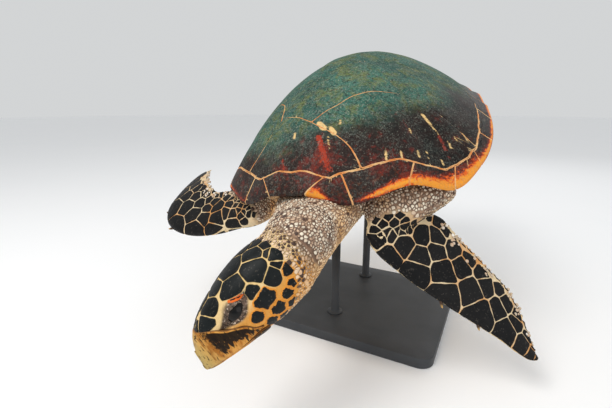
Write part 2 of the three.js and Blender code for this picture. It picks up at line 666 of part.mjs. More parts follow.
const rimRing = (side, grow) => toSolid(loft(rimStations(0, REAR).map((k) => rimSection(k, side, grow))));
const rimRoom = rimRing(1, GAP).add(rimRing(-1, GAP));
SIDES.forEach(([word, side]) => {
  const cut = toSolid(bridge(side)).subtract(trunkRoom).subtract(rimRoom).subtract(bellyRoom);
  add(`shell_bridge_plates_${word}`, toGeometry(cut), COLOUR.belly);
});

// ---- head ---------------------------------------------------------------------------------

const headPlace = new THREE.Matrix4().makeTranslation(HEAD_REAR)
  .multiply(new THREE.Matrix4().makeRotationZ(THREE.MathUtils.degToRad(HEAD_TURN[0])))
  .multiply(new THREE.Matrix4().makeRotationX(THREE.MathUtils.degToRad(HEAD_TURN[1])))
  .multiply(new THREE.Matrix4().makeRotationY(THREE.MathUtils.degToRad(HEAD_TURN[2])))
  .multiply(new THREE.Matrix4().makeTranslation(0, -HEAD_LENGTH, 0));

const HEAD_SIDES = 18;
const CORE_BACK = 1.4; // how much farther back than in the core of the head stands
/** The head's form in its own frame, x left, y back from the beak tip, z up; or its core, set in. */
function headForm(inset = 0) {
  const rings = [];
  const [first, step] = inset > 0 ? [1, 1] : [0, 0.5];
  for (let k = first; k < HEAD.length; k += step) {
    const [back, half, top, bottom] = along(HEAD, k);
    const squash = 1 - (inset * 2) / Math.max(top - bottom, 2 * half, 4 * inset);
    const middle = (top + bottom) / 2;
    rings.push(Array.from({ length: HEAD_SIDES }, (_, j) => {
      const angle = (2 * Math.PI * (j + 0.5)) / HEAD_SIDES;
      const x = half * power(Math.cos(angle), 2 / HEAD_SQUARE);
      const z = ((top - bottom) / 2) * power(Math.sin(angle), 2 / HEAD_SQUARE);
      return new THREE.Vector3(x * squash, back + inset * CORE_BACK, middle + z * squash);
    }));
  }
  return toSolid(loft(rings));
}

const HEAD_CUT = 60; // half breadth of the cutting prisms, wider than the head
/** A prism across the head over a side outline of back and height values. */
function acrossHead(outline) {
  const shape = new THREE.Shape(outline.map(([back, z]) => new THREE.Vector2(back, z)));
  const prism = new THREE.ExtrudeGeometry(shape, { depth: 2 * HEAD_CUT, bevelEnabled: false });
  // the extrusion runs along +z of the drawing; turn drawing x to y and drawing y to z
  const turn = new THREE.Matrix4().makeBasis(
    new THREE.Vector3(0, 1, 0), new THREE.Vector3(0, 0, 1), new THREE.Vector3(1, 0, 0),
  );
  prism.translate(0, 0, -HEAD_CUT);
  prism.applyMatrix4(turn);
  return toSolid(prism);
}

const MOUTH = [[-6, -33], [9, -31.5], [26, -31], [45, -32], [62, -31], [74, -31], [85, -34]];
const BEAK_TOP = [
  [80, -25], [71, -22], [66, -12], [62, -6], [53, -3], [44, 2], [38, 9], [29, 14], [20, 17],
  [19, 60], [-6, 60],
];
const JAW_BACK = [[85, -38], [80, -60], [-6, -60]];
const shifted = (line, dz) => line.map(([back, z]) => [back, z + dz]);

/** An outline with every corner moved outward by a clearance. */
function grown(outline, by) {
  const area = outline.reduce((sum, p, i) => {
    const q = outline[(i + 1) % outline.length];
    return sum + p[0] * q[1] - q[0] * p[1];
  }, 0);
  const turn = Math.sign(area) * by;
  return outline.map((p, i) => {
    const before = outline[(i + outline.length - 1) % outline.length];
    const after = outline[(i + 1) % outline.length];
    const edge = (a, b) => new THREE.Vector2(b[1] - a[1], a[0] - b[0]).normalize();
    const corner = edge(before, p).add(edge(p, after)).normalize();
    const reach = turn / Math.max(corner.dot(edge(before, p)), 0.5);
    return [p[0] + corner.x * reach, p[1] + corner.y * reach];
  });
}

const upperOutline = [...shifted(MOUTH, GAP / 2), ...BEAK_TOP];
const lowerOutline = [...shifted(MOUTH, -GAP / 2), ...JAW_BACK];
const headWhole = headForm();
const horn = headWhole.subtract(headForm(HORN));
const beakUpper = horn.intersect(acrossHead(upperOutline));
const beakLower = horn.intersect(acrossHead(lowerOutline));
let skull = headWhole
  .subtract(acrossHead(grown(upperOutline, GAP)))
  .subtract(acrossHead(grown(lowerOutline, GAP)))
  .add(headForm(HORN + HORN_SEAT).intersect(headWhole));

const EYE_FACETS = [12, 8]; // round the ball and from pole to pole
/** An eyeball in the head's own frame. */
function eyeball(side, grow = 0) {
  const ball = new THREE.SphereGeometry(EYE.radius + grow, ...EYE_FACETS);
  ball.translate(EYE.side * side, EYE.back, EYE.up);
  return ball;
}
SIDES.forEach(([, side]) => {
  skull = skull.subtract(toSolid(eyeball(side, GAP)));
});

/** Adds a solid given in the head's frame. */
function addHeadPart(name, geometry, colour) {
  geometry.applyMatrix4(headPlace);
  return add(name, geometry, colour);
}
addHeadPart('head', toGeometry(skull), COLOUR.scale);
addHeadPart('beak_upper', toGeometry(beakUpper), COLOUR.horn);
addHeadPart('beak_lower', toGeometry(beakLower), COLOUR.horn);
SIDES.forEach(([word, side]) => {
  const room = toSolid(eyeball(side)).subtract(beakUpper);
  addHeadPart(`eye_${word}`, toGeometry(room), COLOUR.eye);
});

// ---- neck and tail ------------------------------------------------------------------------

const UP = new THREE.Vector3(0, 0, 1);
const NECK_STEPS = 9;
const NECK_SIDES = 16;
const TAIL_STEPS = 6;
const TAIL_SIDES = 12;
const LIMB_SQUARE = 0.92; // exponent that makes a limb's section slightly full
/** A round limb along a table of centres with half widths and half heights, grown by a clearance. */
function limb(table, steps, sides, grow = 0) {
  const centreAt = (k) => new THREE.Vector3(...along(table, k).slice(0, 3));
  const last = table.length - 1;
  const rings = [];
  for (let i = 0; i <= steps; i += 1) {
    const k = (i / steps) * last;
    const [, , , half, tall] = along(table, k);
    const ahead = centreAt(Math.min(k + 0.1, last)).sub(centreAt(Math.max(k - 0.1, 0)));
    const across1 = new THREE.Vector3().crossVectors(ahead, UP).normalize();
    const up = new THREE.Vector3().crossVectors(across1, ahead).normalize();
    const centre = centreAt(k);
    rings.push(Array.from({ length: sides }, (_, j) => {
      const angle = (2 * Math.PI * (j + 0.5)) / sides;
      return centre.clone()
        .addScaledVector(across1, (half + grow) * power(Math.cos(angle), LIMB_SQUARE))
        .addScaledVector(up, (tall + grow) * power(Math.sin(angle), LIMB_SQUARE));
    }));
  }
  return loft(rings);
}

/** The head's form grown by the clearance, in the body's frame. */
function headRoomSolid() {
  const mesh = headForm().getMesh();
  const geometry = new THREE.BufferGeometry();
  geometry.setAttribute('position', new THREE.BufferAttribute(mesh.vertProperties, 3));
  geometry.setIndex(new THREE.BufferAttribute(mesh.triVerts, 1));
  geometry.computeVertexNormals();
  const position = geometry.attributes.position;
  const normal = geometry.attributes.normal;
  for (let i = 0; i < position.count; i += 1) {
    const grown3 = [0, 1, 2].map((c) => position.getComponent(i, c) + normal.getComponent(i, c) * GAP);
    position.setXYZ(i, ...grown3);
  }
  geometry.applyMatrix4(headPlace);
  return toSolid(geometry);
}
const headRoom = headRoomSolid();
const bodyRoom = trunkRoom.add(rimRoom).add(bellyRoom)
  .add(toSolid(bridge(1, GAP))).add(toSolid(bridge(-1, GAP)));
const neck = toSolid(limb(NECK, NECK_STEPS, NECK_SIDES)).subtract(bodyRoom).subtract(headRoom);
const neckRoom = toSolid(limb(NECK, NECK_STEPS, NECK_SIDES, GAP));
add('neck', toGeometry(neck), COLOUR.skin);
const tail = toSolid(limb(TAIL, TAIL_STEPS, TAIL_SIDES)).subtract(bodyRoom);
add('tail', toGeometry(tail), COLOUR.skin);

// ---- flippers -----------------------------------------------------------------------------

const FRONT_FULLNESS = 0.3; // how much thicker a blade is at its leading edge
const REAR_THINNING = 1.05; // how fast it thins toward its trailing edge
const BLADE_LEVELLING = 0.13; // keeps the blade's greatest thickness as the table gives it
const ARM_STEPS = 7;
const BLADE_STEPS = 12;
const HIND_STEPS = 11;
const FLIPPER_SIDES = 14;
/** Rings of a flipper between two stations, grown by a clearance. */
function flipperRings(table, from, to, steps, grow = 0) {
  const last = table.length - 1;
  const edges = (k) => {
    const row = along(table, THREE.MathUtils.clamp(k, 0, last));
    return [new THREE.Vector3(...row.slice(0, 3)), new THREE.Vector3(...row.slice(3, 6)), row[6], row[7]];
  };
  const middle = (k) => {
    const [a, b] = edges(k);
    return a.add(b).multiplyScalar(0.5);
  };
  return Array.from({ length: steps + 1 }, (_, i) => {
    const k = from + ((to - from) * i) / steps;
    const [lead, trail, thick, blade] = edges(k);
    const ahead = middle(k + 0.1).sub(middle(k - 0.1));
    const chord = trail.clone().sub(lead);
    const face = new THREE.Vector3().crossVectors(ahead, chord).normalize();
    const stretch = 1 + (2 * grow) / chord.length();
    const centre = lead.clone().add(trail).multiplyScalar(0.5);
    return Array.from({ length: FLIPPER_SIDES }, (_unused, j) => {
      const angle = (2 * Math.PI * (j + 0.5)) / FLIPPER_SIDES;
      const share = (1 - Math.cos(angle)) / 2;
      const slimming = 1 + blade * (FRONT_FULLNESS - REAR_THINNING * share);
      const taper = slimming / (1 - BLADE_LEVELLING * blade);
      const height = (thick / 2) * Math.sin(angle) * taper + grow * Math.sign(Math.sin(angle));
      return centre.clone().addScaledVector(chord, (share - 0.5) * stretch).addScaledVector(face, height);
    });
  });
}

const CUT_HALF = 0.006; // half the clearance at the elbow, in stations
const claws = [];
/** Claws standing off the leading edge of a flipper, clear of the room it takes. */
function addClaws(prefix, table, sizes, room) {
  sizes.forEach(([station, length], i) => {
    const row = along(table, station);
    const lead = new THREE.Vector3(...row.slice(0, 3));
    const chord = new THREE.Vector3(...row.slice(3, 6)).sub(lead).normalize();
    const next = new THREE.Vector3(...along(table, station + 0.1).slice(0, 3)).sub(lead).normalize();
    const point = chord.clone().negate().addScaledVector(next, CLAW_LEAN).normalize();
    const cone = new THREE.ConeGeometry(CLAW_WIDTH / 2, length + CLAW_ROOT, CLAW_SIDES, 1);
    cone.translate(0, (length - CLAW_ROOT) / 2, 0);
    cone.applyQuaternion(new THREE.Quaternion().setFromUnitVectors(new THREE.Vector3(0, 1, 0), point));
    cone.translate(lead.x, lead.y, lead.z);
    claws.push([`${prefix}_claw_${i + 1}`, toGeometry(toSolid(cone).subtract(room))]);
  });
}

const tailRoom = toSolid(limb(TAIL, TAIL_STEPS, TAIL_SIDES, GAP));
[['left', FRONT_LEFT], ['right', FRONT_RIGHT]].forEach(([word, table]) => {
  const last = table.length - 1;
  const arm = toSolid(loft(flipperRings(table, 0, BLADE_CUT - CUT_HALF, ARM_STEPS)));
  const blade = (grow) => loft(flipperRings(table, BLADE_CUT + CUT_HALF, last, BLADE_STEPS, grow));
  const cut = arm.subtract(bodyRoom).subtract(neckRoom);
  add(`flipper_front_arm_${word}`, toGeometry(cut), COLOUR.skin);
  add(`flipper_front_blade_${word}`, blade(0), COLOUR.scale);
  addClaws(`flipper_front_${word}`, table, FRONT_CLAWS, toSolid(blade(GAP)));
});
SIDES.forEach(([word, side]) => {
  const table = HIND.map((row) => row.map((v, c) => (c === 0 || c === 3 ? v * side : v)));
  const whole = (grow) => toSolid(loft(flipperRings(table, 0, table.length - 1, HIND_STEPS, grow)));
  const cut = whole(0).subtract(bodyRoom).subtract(tailRoom);
  add(`flipper_hind_${word}`, toGeometry(cut), COLOUR.scale);
  addClaws(`flipper_hind_${word}`, table, HIND_CLAWS, whole(GAP));
});
claws.forEach(([name, geometry]) => add(name, geometry, COLOUR.claw));

// ---- stand --------------------------------------------------------------------------------

/** The flat base, corners rounded. */
function standBase() {
  const { width, depth, height, corner } = BASE;
  const [w, d] = [width / 2, depth / 2];
  const shape = new THREE.Shape();
  shape.moveTo(-w + corner, -d);
  shape.lineTo(w - corner, -d);
  shape.absarc(w - corner, -d + corner, corner, -Math.PI / 2, 0);
  shape.lineTo(w, d - corner);
  shape.absarc(w - corner, d - corner, corner, 0, Math.PI / 2);
  shape.lineTo(-w + corner, d);
  shape.absarc(-w + corner, d - corner, corner, Math.PI / 2, Math.PI);
  shape.lineTo(-w, -d + corner);
  shape.absarc(-w + corner, -d + corner, corner, Math.PI, 1.5 * Math.PI);
  const extrusion = { depth: height, bevelEnabled: false, curveSegments: CORNER_STEPS };
  return new THREE.ExtrudeGeometry(shape, extrusion);
}
add('stand_base', standBase(), COLOUR.stand, group);

animal.updateMatrix();
const CLIMBS = 30; // steps of the search for the belly above a point
/** Height of the plastron's underside over a point of the floor, found by walking along it. */
function bellyOver(x, y) {
  const below = new THREE.Vector3(x, y, 0).applyMatrix4(animal.matrix.clone().invert());
  const climb = UP.clone().transformDirection(animal.matrix.clone().invert());
  let height = 0;
  for (let i = 0; i < CLIMBS; i += 1) {
    const p = below.clone().addScaledVector(climb, height);
    height += (bellyHeight(p.x, p.y) - BELLY_SEAT - BELLY_PLATE - p.z) / climb.z;
  }
  return height;
}

/** A rod from the base up to the belly, its top cut to the belly's slope. */
function rod([x, y]) {
  const ring = (heightAt) => Array.from({ length: ROD_SIDES }, (_, j) => {
    const angle = (2 * Math.PI * j) / ROD_SIDES;
    const [px, py] = [x + ROD_RADIUS * Math.cos(angle), y + ROD_RADIUS * Math.sin(angle)];
    return new THREE.Vector3(px, py, heightAt(px, py));
  });
  return loft([ring(() => BASE.height + ROD_SINK), ring((px, py) => bellyOver(px, py) - ROD_SINK)]);
}
add('stand_rod_front', rod(RODS.front), COLOUR.stand, group);
add('stand_rod_rear', rod(RODS.rear), COLOUR.stand, group);

export default group;
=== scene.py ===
"""A life-size hawksbill sea turtle, gliding nose down on a plain display stand.

The animal is laid out level in a body frame of its own, in millimetres: x to its left, y back
toward the tail, z up through the shell, origin in the middle of the shell's rim. Place.BODY
pitches and rolls it into the finished frame, where everything is in metres.

Shapes are surfaces of two parameters, worked out as whole numpy arrays. One skin replaces all
the flesh, scales lie over it as joined meshes, and the horny plates, beak, claws and eyes stay
pieces of their own.
"""

import logging
import math
from collections.abc import Callable
from dataclasses import dataclass, field
from enum import Enum

import bpy
import numpy as np
from mathutils import Matrix
from mathutils.kdtree import KDTree


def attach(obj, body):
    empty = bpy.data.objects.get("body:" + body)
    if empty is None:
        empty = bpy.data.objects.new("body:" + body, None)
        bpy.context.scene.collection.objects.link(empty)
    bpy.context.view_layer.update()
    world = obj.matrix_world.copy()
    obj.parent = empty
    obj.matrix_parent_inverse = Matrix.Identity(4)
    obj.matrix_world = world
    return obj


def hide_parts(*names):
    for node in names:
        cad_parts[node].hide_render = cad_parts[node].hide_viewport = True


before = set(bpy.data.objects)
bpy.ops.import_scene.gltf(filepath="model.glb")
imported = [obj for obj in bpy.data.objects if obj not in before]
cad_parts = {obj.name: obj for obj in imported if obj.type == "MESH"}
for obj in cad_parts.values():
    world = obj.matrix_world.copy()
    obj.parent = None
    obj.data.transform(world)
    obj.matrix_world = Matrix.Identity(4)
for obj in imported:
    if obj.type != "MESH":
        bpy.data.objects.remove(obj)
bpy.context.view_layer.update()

Array = np.ndarray
Pair = tuple[float, float]
Spot = tuple[float, float, float]
LOG = logging.getLogger("hawksbill")
MM = 0.001
# distances in from the edge of a plate of the rows that round it over
EDGE_STEPS = (0.5, 1.0, 1.7, 2.6, 3.8, 5.5)


# ---- small tools -------------------------------------------------------------------------------


def along(table: Array, k: Array) -> Array:
    """Smooth values between the rows of a table, by cubic pieces that share slopes at the rows.

    Args:
        table: rows of values, an (n, c) array.
        k: row positions, any shape, counted from 0.

    Returns:
        An array shaped like k with one more axis of length c.
    """
    k = np.asarray(k, float)
    i = np.clip(np.floor(k).astype(int), 0, len(table) - 2)
    s = (k - i)[..., None]
    slope = np.gradient(table, axis=0)
    falls, rises = 2 * s**3 - 3 * s**2 + 1, 3 * s**2 - 2 * s**3
    leaves, comes = s**3 - 2 * s**2 + s, s**3 - s**2
    return falls * table[i] + leaves * slope[i] + rises * table[i + 1] + comes * slope[i + 1]


def measures(rows: list[list[float]]) -> Array:
    """A dataclass field of rows of measures."""
    return field(default_factory=lambda: np.array(rows, float))


def smooth_step(low: float, high: float, x: Array) -> Array:
    """0 below low, 1 above high and 3t^2 - 2t^3 between."""
    t = np.clip((x - low) / (high - low), 0.0, 1.0)
    return t * t * (3 - 2 * t)


def power(x: Array, exponent: float) -> Array:
    """Signed power, sign(x) |x|^exponent, which rounds a superellipse."""
    return np.sign(x) * np.abs(x) ** exponent


def turn(axis: str, degrees: float) -> Array:
    """Rotation matrix about "x", "y" or "z".

    Args:
        axis: the axis.
        degrees: the angle.

    Returns:
        a (3, 3) matrix.
    """
    c, s = math.cos(math.radians(degrees)), math.sin(math.radians(degrees))
    if axis == "x":
        return np.array([[1, 0, 0], [0, c, -s], [0, s, c]])
    if axis == "y":
        return np.array([[c, 0, s], [0, 1, 0], [-s, 0, c]])
    return np.array([[c, -s, 0], [s, c, 0], [0, 0, 1]])


def unit(v: Array) -> Array:
    """Vectors scaled to length 1 along the last axis."""
    return v / np.maximum(np.linalg.norm(v, axis=-1, keepdims=True), 1e-9)


def run_along(line: Array) -> Array:
    """Distance along a line of points to each of them."""
    return np.concatenate([[0], np.cumsum(np.linalg.norm(np.diff(line, axis=0), axis=1))])


def ripple(p: Array, wavelength: float, seed: int, waves: int = 9) -> Array:
    """Smooth noise of about -1 to 1: the mean of sines along random directions.

    Args:
        p: points (..., d).
        wavelength: distance between crests, in the points' units.
        seed: picks the directions and phases.
        waves: how many sines are added.
    """
    random = np.random.default_rng(seed)
    ways = unit(random.normal(size=(waves, p.shape[-1]))) * random.uniform(0.7, 1.4, (waves, 1))
    phases = random.uniform(0, 2 * np.pi, waves)
    return np.sin(p @ ways.T * (2 * np.pi / wavelength) + phases).sum(-1) / math.sqrt(waves / 2) / 1.6


@dataclass(frozen=True)
class Place:
    """A rigid placing: points are turned, then moved."""

    rotation: Array
    offset: Array

    def __call__(self, points: Array) -> Array:
        """The placed points."""
        return points @ self.rotation.T + self.offset

    def back(self, points: Array) -> Array:
        """Placed points taken back to where they came from."""
        return (points - self.offset) @ self.rotation


BODY = Place(turn("x", 17.2) @ turn("y", -7.4), np.array([0.0, 16.0, 392.0]))
FLOOR = Place(np.eye(3), np.zeros(3))


class Weave:
    """Faces between the rows and columns of grids of points."""

    @staticmethod
    def quads(rows: int, cols: int, wrap: bool = True, start: int = 0) -> Array:
        """Quads of a grid stored row by row; wrap joins the last column to the first.

        Args:
            rows: rows of the grid.
            cols: columns of the grid.
            wrap: whether it closes round.
            start: number of its first point.

        Returns:
            corners (n, 4).
        """
        r = np.arange(rows - 1)[:, None]
        c = np.arange(cols if wrap else cols - 1)[None, :]
        right = (c + 1) % cols
        corners = [r * cols + c, r * cols + right, (r + 1) * cols + right, (r + 1) * cols + c]
        return np.stack(np.broadcast_arrays(*corners), -1).reshape(-1, 4) + start

    @staticmethod
    def fan(ring: Array, centre: int) -> Array:
        """Triangles from each edge of a closed ring to its centre point."""
        return np.stack([ring, np.roll(ring, -1), np.full(len(ring), centre)], -1)


def enter(name: str, data: bpy.types.ID) -> bpy.types.Object:
    """A new object in the scene that shows a mesh, lamp or camera."""
    made = bpy.data.objects.new(name, data)
    bpy.context.scene.collection.objects.link(made)
    return made


def carry(mesh: bpy.types.Mesh, values: dict[str, Array], uv: Array | None) -> None:
    """Writes named values, and a flat map if there is one, at the points of a mesh.

    Args:
        mesh: takes them.
        values: an array (points,) for each name.
        uv: places on the map (points, 2).
    """
    for key, value in values.items():
        mesh.attributes.new(key, "FLOAT", "POINT").data.foreach_set("value", value.astype(np.float32).ravel())
    if uv is not None:
        corners = np.empty(len(mesh.loops), np.int32)
        mesh.loops.foreach_get("vertex_index", corners)
        mesh.uv_layers.new(name="OFBake").data.foreach_set("uv", uv[corners].astype(np.float32).ravel())


@dataclass
class Shape:
    """Points with quads and triangles, and named values at the points."""

    points: Array
    quads: Array
    tris: Array
    values: dict[str, Array] = field(default_factory=dict)
    uv: Array | None = None

    @staticmethod
    def join(parts: list["Shape"]) -> "Shape":
        """Several shapes as one; every part has the same named values.

        Args:
            parts: the shapes.

        Returns:
            one shape, without a flat map.
        """
        starts = np.cumsum([0] + [len(p.points) for p in parts])
        return Shape(
            np.concatenate([p.points for p in parts]),
            np.concatenate([p.quads + s for p, s in zip(parts, starts)]),
            np.concatenate([p.tris + s for p, s in zip(parts, starts)]),
            {n: np.concatenate([p.values[n] for p in parts]) for n in parts[0].values},
        )

    def outward(self) -> "Shape":
        """The same closed shape with its faces turned outward, judged by its enclosed volume."""
        thirds = np.concatenate([self.tris, self.quads[:, [0, 1, 2]], self.quads[:, [0, 2, 3]]])
        a, b, c = (self.points[thirds[:, i]] for i in range(3))
        if np.einsum("ij,ij->i", a, np.cross(b, c)).sum() < 0:
            self.quads, self.tris = self.quads[:, ::-1], self.tris[:, ::-1]
        return self

    def make(self, name: str, finish: bpy.types.Material | None = None,
             place: Place = BODY) -> bpy.types.Object:
        """A smooth-shaded mesh object of the shape, placed in the finished frame in metres.

        Args:
            name: the object's name.
            finish: its material.
            place: from its own frame to the finished one.

        Returns:
            the object, in the scene.
        """
        mesh = bpy.data.meshes.new(name)
        mesh.vertices.add(len(self.points))
        mesh.vertices.foreach_set("co", (place(self.points) * MM).astype(np.float32).ravel())
        corners = np.concatenate([self.quads.ravel(), self.tris.ravel()]).astype(np.int32)
        sizes = np.concatenate([np.full(len(self.quads), 4), np.full(len(self.tris), 3)])
        mesh.loops.add(len(corners))
        mesh.loops.foreach_set("vertex_index", corners)
        mesh.polygons.add(len(sizes))
        mesh.polygons.foreach_set("loop_start", np.cumsum(np.concatenate([[0], sizes[:-1]])).astype(np.int32))
        mesh.polygons.foreach_set("use_smooth", np.ones(len(sizes), bool))
        mesh.update(calc_edges=True)
        carry(mesh, self.values, self.uv)
        if finish:
            mesh.materials.append(finish)
        return enter(name, mesh)


def loft(rings: Array, values: dict[str, Array] | None = None) -> Shape:
    """A closed shape from rings of points, each end closed by a fan to its middle.

    Args:
        rings: points (rows, columns, 3).
        values: named values (rows, columns).
    """
    rows, cols = rings.shape[:2]
    points = np.concatenate([rings.reshape(-1, 3), rings[0].mean(0)[None], rings[-1].mean(0)[None]])
    first, last = np.arange(cols), np.arange(cols) + (rows - 1) * cols
    tris = np.concatenate([Weave.fan(first[::-1], rows * cols), Weave.fan(last, rows * cols + 1)])
    kept = {}
    for key, value in (values or {}).items():
        kept[key] = np.concatenate([value.ravel(), [value[0].mean(), value[-1].mean()]])
    return Shape(points, Weave.quads(rows, cols), tris, kept).outward()


def show(piece: bpy.types.Object, slot: str, *nodes: str) -> bpy.types.Object:
    """Sets a finished piece on the body, hides the solids it stands for, and reports it.

    Args:
        piece: the finished object.
        slot: its material slot; not used.
        nodes: the solids it replaces.

    Returns:
        the piece.
    """
    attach(piece, "root")
    if nodes:
        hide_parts(*nodes)
    LOG.info("%s: %d faces", piece.name, len(piece.data.polygons))
    return piece


# ---- the shell's form --------------------------------------------------------------------------


@dataclass
class ShellForm:
    """The outside of the shell: a dome over a rim that dips and rises, and the seams drawn on it."""

    rise: float = 155.0
    crown_y: float = -20.0
    front: Pair = (1.7, 0.86)
    side: Pair = (1.6, 1.02)
    rear: Pair = (2.2, 1.0)
    serration: float = 7.0
    serrated_from: float = 7.0
    # joints between rim plates along the left half, front to rear: rim x, y, z, inner x, y
    joints: Array = measures([
        [0, -306, 22, 0, -282], [34, -305, 21, 56, -280], [98, -291, -1, 79, -268],
        [169, -240, 3, 170, -207], [220, -184, -35, 218, -156], [250, -122, -26, 239, -111],
        [260, -48, -18, 242, -55], [254, 30, -8, 231, 28], [236, 104, 0, 207, 98],
        [210, 178, 3, 178, 165], [173, 248, 5, 140, 226], [126, 309, 6, 98, 277],
        [64, 352, 7, 50, 314], [6, 360, 6, 4, 327],
    ])

    def __post_init__(self) -> None:
        """Samples the rim once for looking up its reach and height by angle."""
        line = along(self.joints, np.linspace(0, self.last, 521))
        self._angles = np.arctan2(line[:, 0], self.crown_y - line[:, 1])
        self._reach = np.hypot(line[:, 0], line[:, 1] - self.crown_y)
        self._heights = line[:, 2]

    @property
    def last(self) -> int:
        """Rim position of the rear middle."""
        return len(self.joints) - 1

    def height(self, x: Array, y: Array) -> Array:
        """z = rise (1 - rho^p)^q + rim z * rho^3, rho the share of the way from crown to rim.

        Args:
            x: plan x, any shape.
            y: plan y, the same shape.

        Returns:
            heights of that shape.
        """
        angle = np.arctan2(x, self.crown_y - y)
        reach = np.interp(np.abs(angle), self._angles, self._reach)
        rim_z = np.interp(np.abs(angle), self._angles, self._heights)
        rho = np.minimum(np.hypot(x, y - self.crown_y) / reach, 1.0)
        ahead, behind = np.maximum(np.cos(angle), 0) ** 2, np.maximum(-np.cos(angle), 0) ** 2
        beside = 1 - ahead - behind
        p, q = (self.front[n] * ahead + self.side[n] * beside + self.rear[n] * behind for n in (0, 1))
        return self.rise * (1 - rho**p) ** q + rim_z * rho**3

    def at(self, plan: Array, out: Array | float = 0.0) -> Array:
        """Points of the plan (..., 2) on the dome, moved out along its normal by out.

        Args:
            plan: places (..., 2).
            out: distance out along the normal.

        Returns:
            points (..., 3).
        """
        x, y = plan[..., 0], plan[..., 1]
        step = 2.0
        slope_x = (self.height(x + step, y) - self.height(x - step, y)) / (2 * step)
        slope_y = (self.height(x, y + step) - self.height(x, y - step)) / (2 * step)
        normal = unit(np.stack([-slope_x, -slope_y, np.ones_like(x)], -1))
        return np.stack([x, y, self.height(x, y)], -1) + normal * np.asarray(out)[..., None]

    def inner(self, k: Array) -> Array:
        """Plan of the line where rim plates meet back plates, at rim positions."""
        return along(self.joints, k)[..., 3:5]

    def tooth(self, k: Array) -> Array:
        """How far the saw edge stands out: each rear plate rises to its back corner, then drops."""
        share = k - np.floor(k)
        rise = np.where(share < 0.86, share / 0.86, (1 - share) / 0.14)
        return smooth_step(self.serrated_from, self.serrated_from + 2, k) * self.serration * rise


class Side(Enum):
    """The animal's sides, +1 for its left."""

    LEFT = 1
    RIGHT = -1

    @property
    def word(self) -> str:
        """The side's name in node names."""
        return self.name.lower()

    def turned(self, points: Array) -> Array:
        """Points laid out for the left, mirrored for the right."""
        flip = np.ones(points.shape[-1])
        flip[0] = self.value
        return points * flip


@dataclass
class SeamNet:
    """The seams between the plates of the back, as curves in plan on the left half."""

    shell: ShellForm
    steps: int = 28
    # rim positions where seams come out, and the corners of the zigzag between the first and the last
    meets: tuple[float, ...] = (2.32, 5.25, 7.5, 9.5, 11.4)
    corners: Array = measures([[36, -193], [143, -87], [36, -34], [136, 50], [31, 110], [106, 181], [26, 232]])
    # how far each seam bows: along the zigzag, over the middle, and out to the rim
    bows: tuple[float, ...] = (-4, 15, 4, 4, 4, 3, 3, 3)
    middle_bows: tuple[float, ...] = (-7, -4, -3, 3)
    side_bow: float = 3.0
    # the front corners lean: centre y, reach, shift to the right, turn
    lean: tuple[float, ...] = (-193.0, 95.0, -29.0, -0.42)
    waver: float = 0.8

    def leaned(self, plan: Array) -> Array:
        """The plan with this animal's own lean and a slight waver of every seam.

        Args:
            plan: places (..., 2).

        Returns:
            the places moved.
        """
        x, y = plan[..., 0], plan[..., 1]
        share = np.maximum(1 - (np.hypot(x, y - self.lean[0]) / self.lean[1]) ** 2, 0) ** 2
        moved = np.stack([x + self.lean[2] * share, y + self.lean[3] * x * share], -1)
        drift = [ripple(plan, 34, 5 + i) * self.waver + ripple(plan, 11, 8 + i) * self.waver * 0.35
                 for i in (0, 1)]
        return moved + np.stack(drift, -1)

    def seam(self, a: Array, b: Array, bulge: float) -> Array:
        """Points from a (left out) to b, bowed sideways as 4 t (1 - t)."""
        t = np.arange(1, self.steps + 1)[:, None] / self.steps
        across = unit(np.array([a[1] - b[1], b[0] - a[0]]))
        return a + (b - a) * t + across * bulge * 4 * t * (1 - t)

    def rim_line(self, start: float, end: float) -> Array:
        """Points along the inner line of the rim plates, the first left out."""
        return self.shell.inner(np.linspace(start, end, max(int(abs(end - start) * 14), 8))[1:])

    def outlines(self) -> dict[str, Array]:
        """Closed outlines in plan of the plates of the back, named as their solids."""
        meets = self.shell.inner(np.array(self.meets))
        chain = [meets[0], *self.corners, meets[-1]]
        zigzag = [self.seam(a, b, bow) for a, b, bow in zip(chain, chain[1:], self.bows)]
        sides = [self.seam(a, b, self.side_bow) for a, b in zip(chain[2:8:2], meets[1:4])]
        # the left halves of the seams over the middle, from the corner to the middle
        halves = [self.seam(a, a * [-1, 1], bow)[: self.steps // 2]
                  for a, bow in zip(chain[1:8:2], self.middle_bows)]

        def back(start: Array, seam: Array) -> Array:
            """The seam walked the other way, its end left out."""
            return np.concatenate([start[None], seam])[::-1][1:]

        found = {}
        for n in range(5):
            front = [halves[n - 1][::-1], chain[2 * n - 1][None]] if n else [self.rim_line(0, self.meets[0])]
            rear = [zigzag[2 * n], halves[n]] if n < 4 else [self.rim_line(self.meets[4], self.shell.last)]
            half = np.concatenate([*front, *zigzag[max(2 * n - 1, 0):2 * n], *rear])
            found[f"shell_vertebral_plate_{n + 1}"] = np.concatenate([half, half[::-1] * [-1, 1]])
        for n in range(4):
            rear = [back(chain[2 * n + 2], seam) for seam in sides[n:n + 1]]
            middle = [back(chain[i], zigzag[i]) for i in (2 * n + 1, 2 * n)]
            rim, front = self.rim_line(*self.meets[n:n + 2]), sides[max(n - 1, 0):n]
            half = np.concatenate([rim, *rear, *middle, *front])
            for side in Side:
                found[f"shell_costal_plate_{n + 1}_{side.word}"] = side.turned(half)
        return {n: self.leaned(line) for n, line in found.items()}


@dataclass(frozen=True)
class Mark:
    """A mark on the shell: a stroke between two places of the plan, in millimetres."""

    start: Pair
    end: Pair
    half: float
    taper: float = 0.0

    def inside(self, plan: Array) -> Array:
        """How far inside the stroke plan points lie, negative outside."""
        a, b = np.array(self.start, float), np.array(self.end, float)
        way = b - a
        t = np.clip(((plan - a) @ way) / max(way @ way, 1e-6), 0, 1)
        return self.half * (1 - self.taper * t) - np.linalg.norm(plan - a - t[..., None] * way, axis=-1)


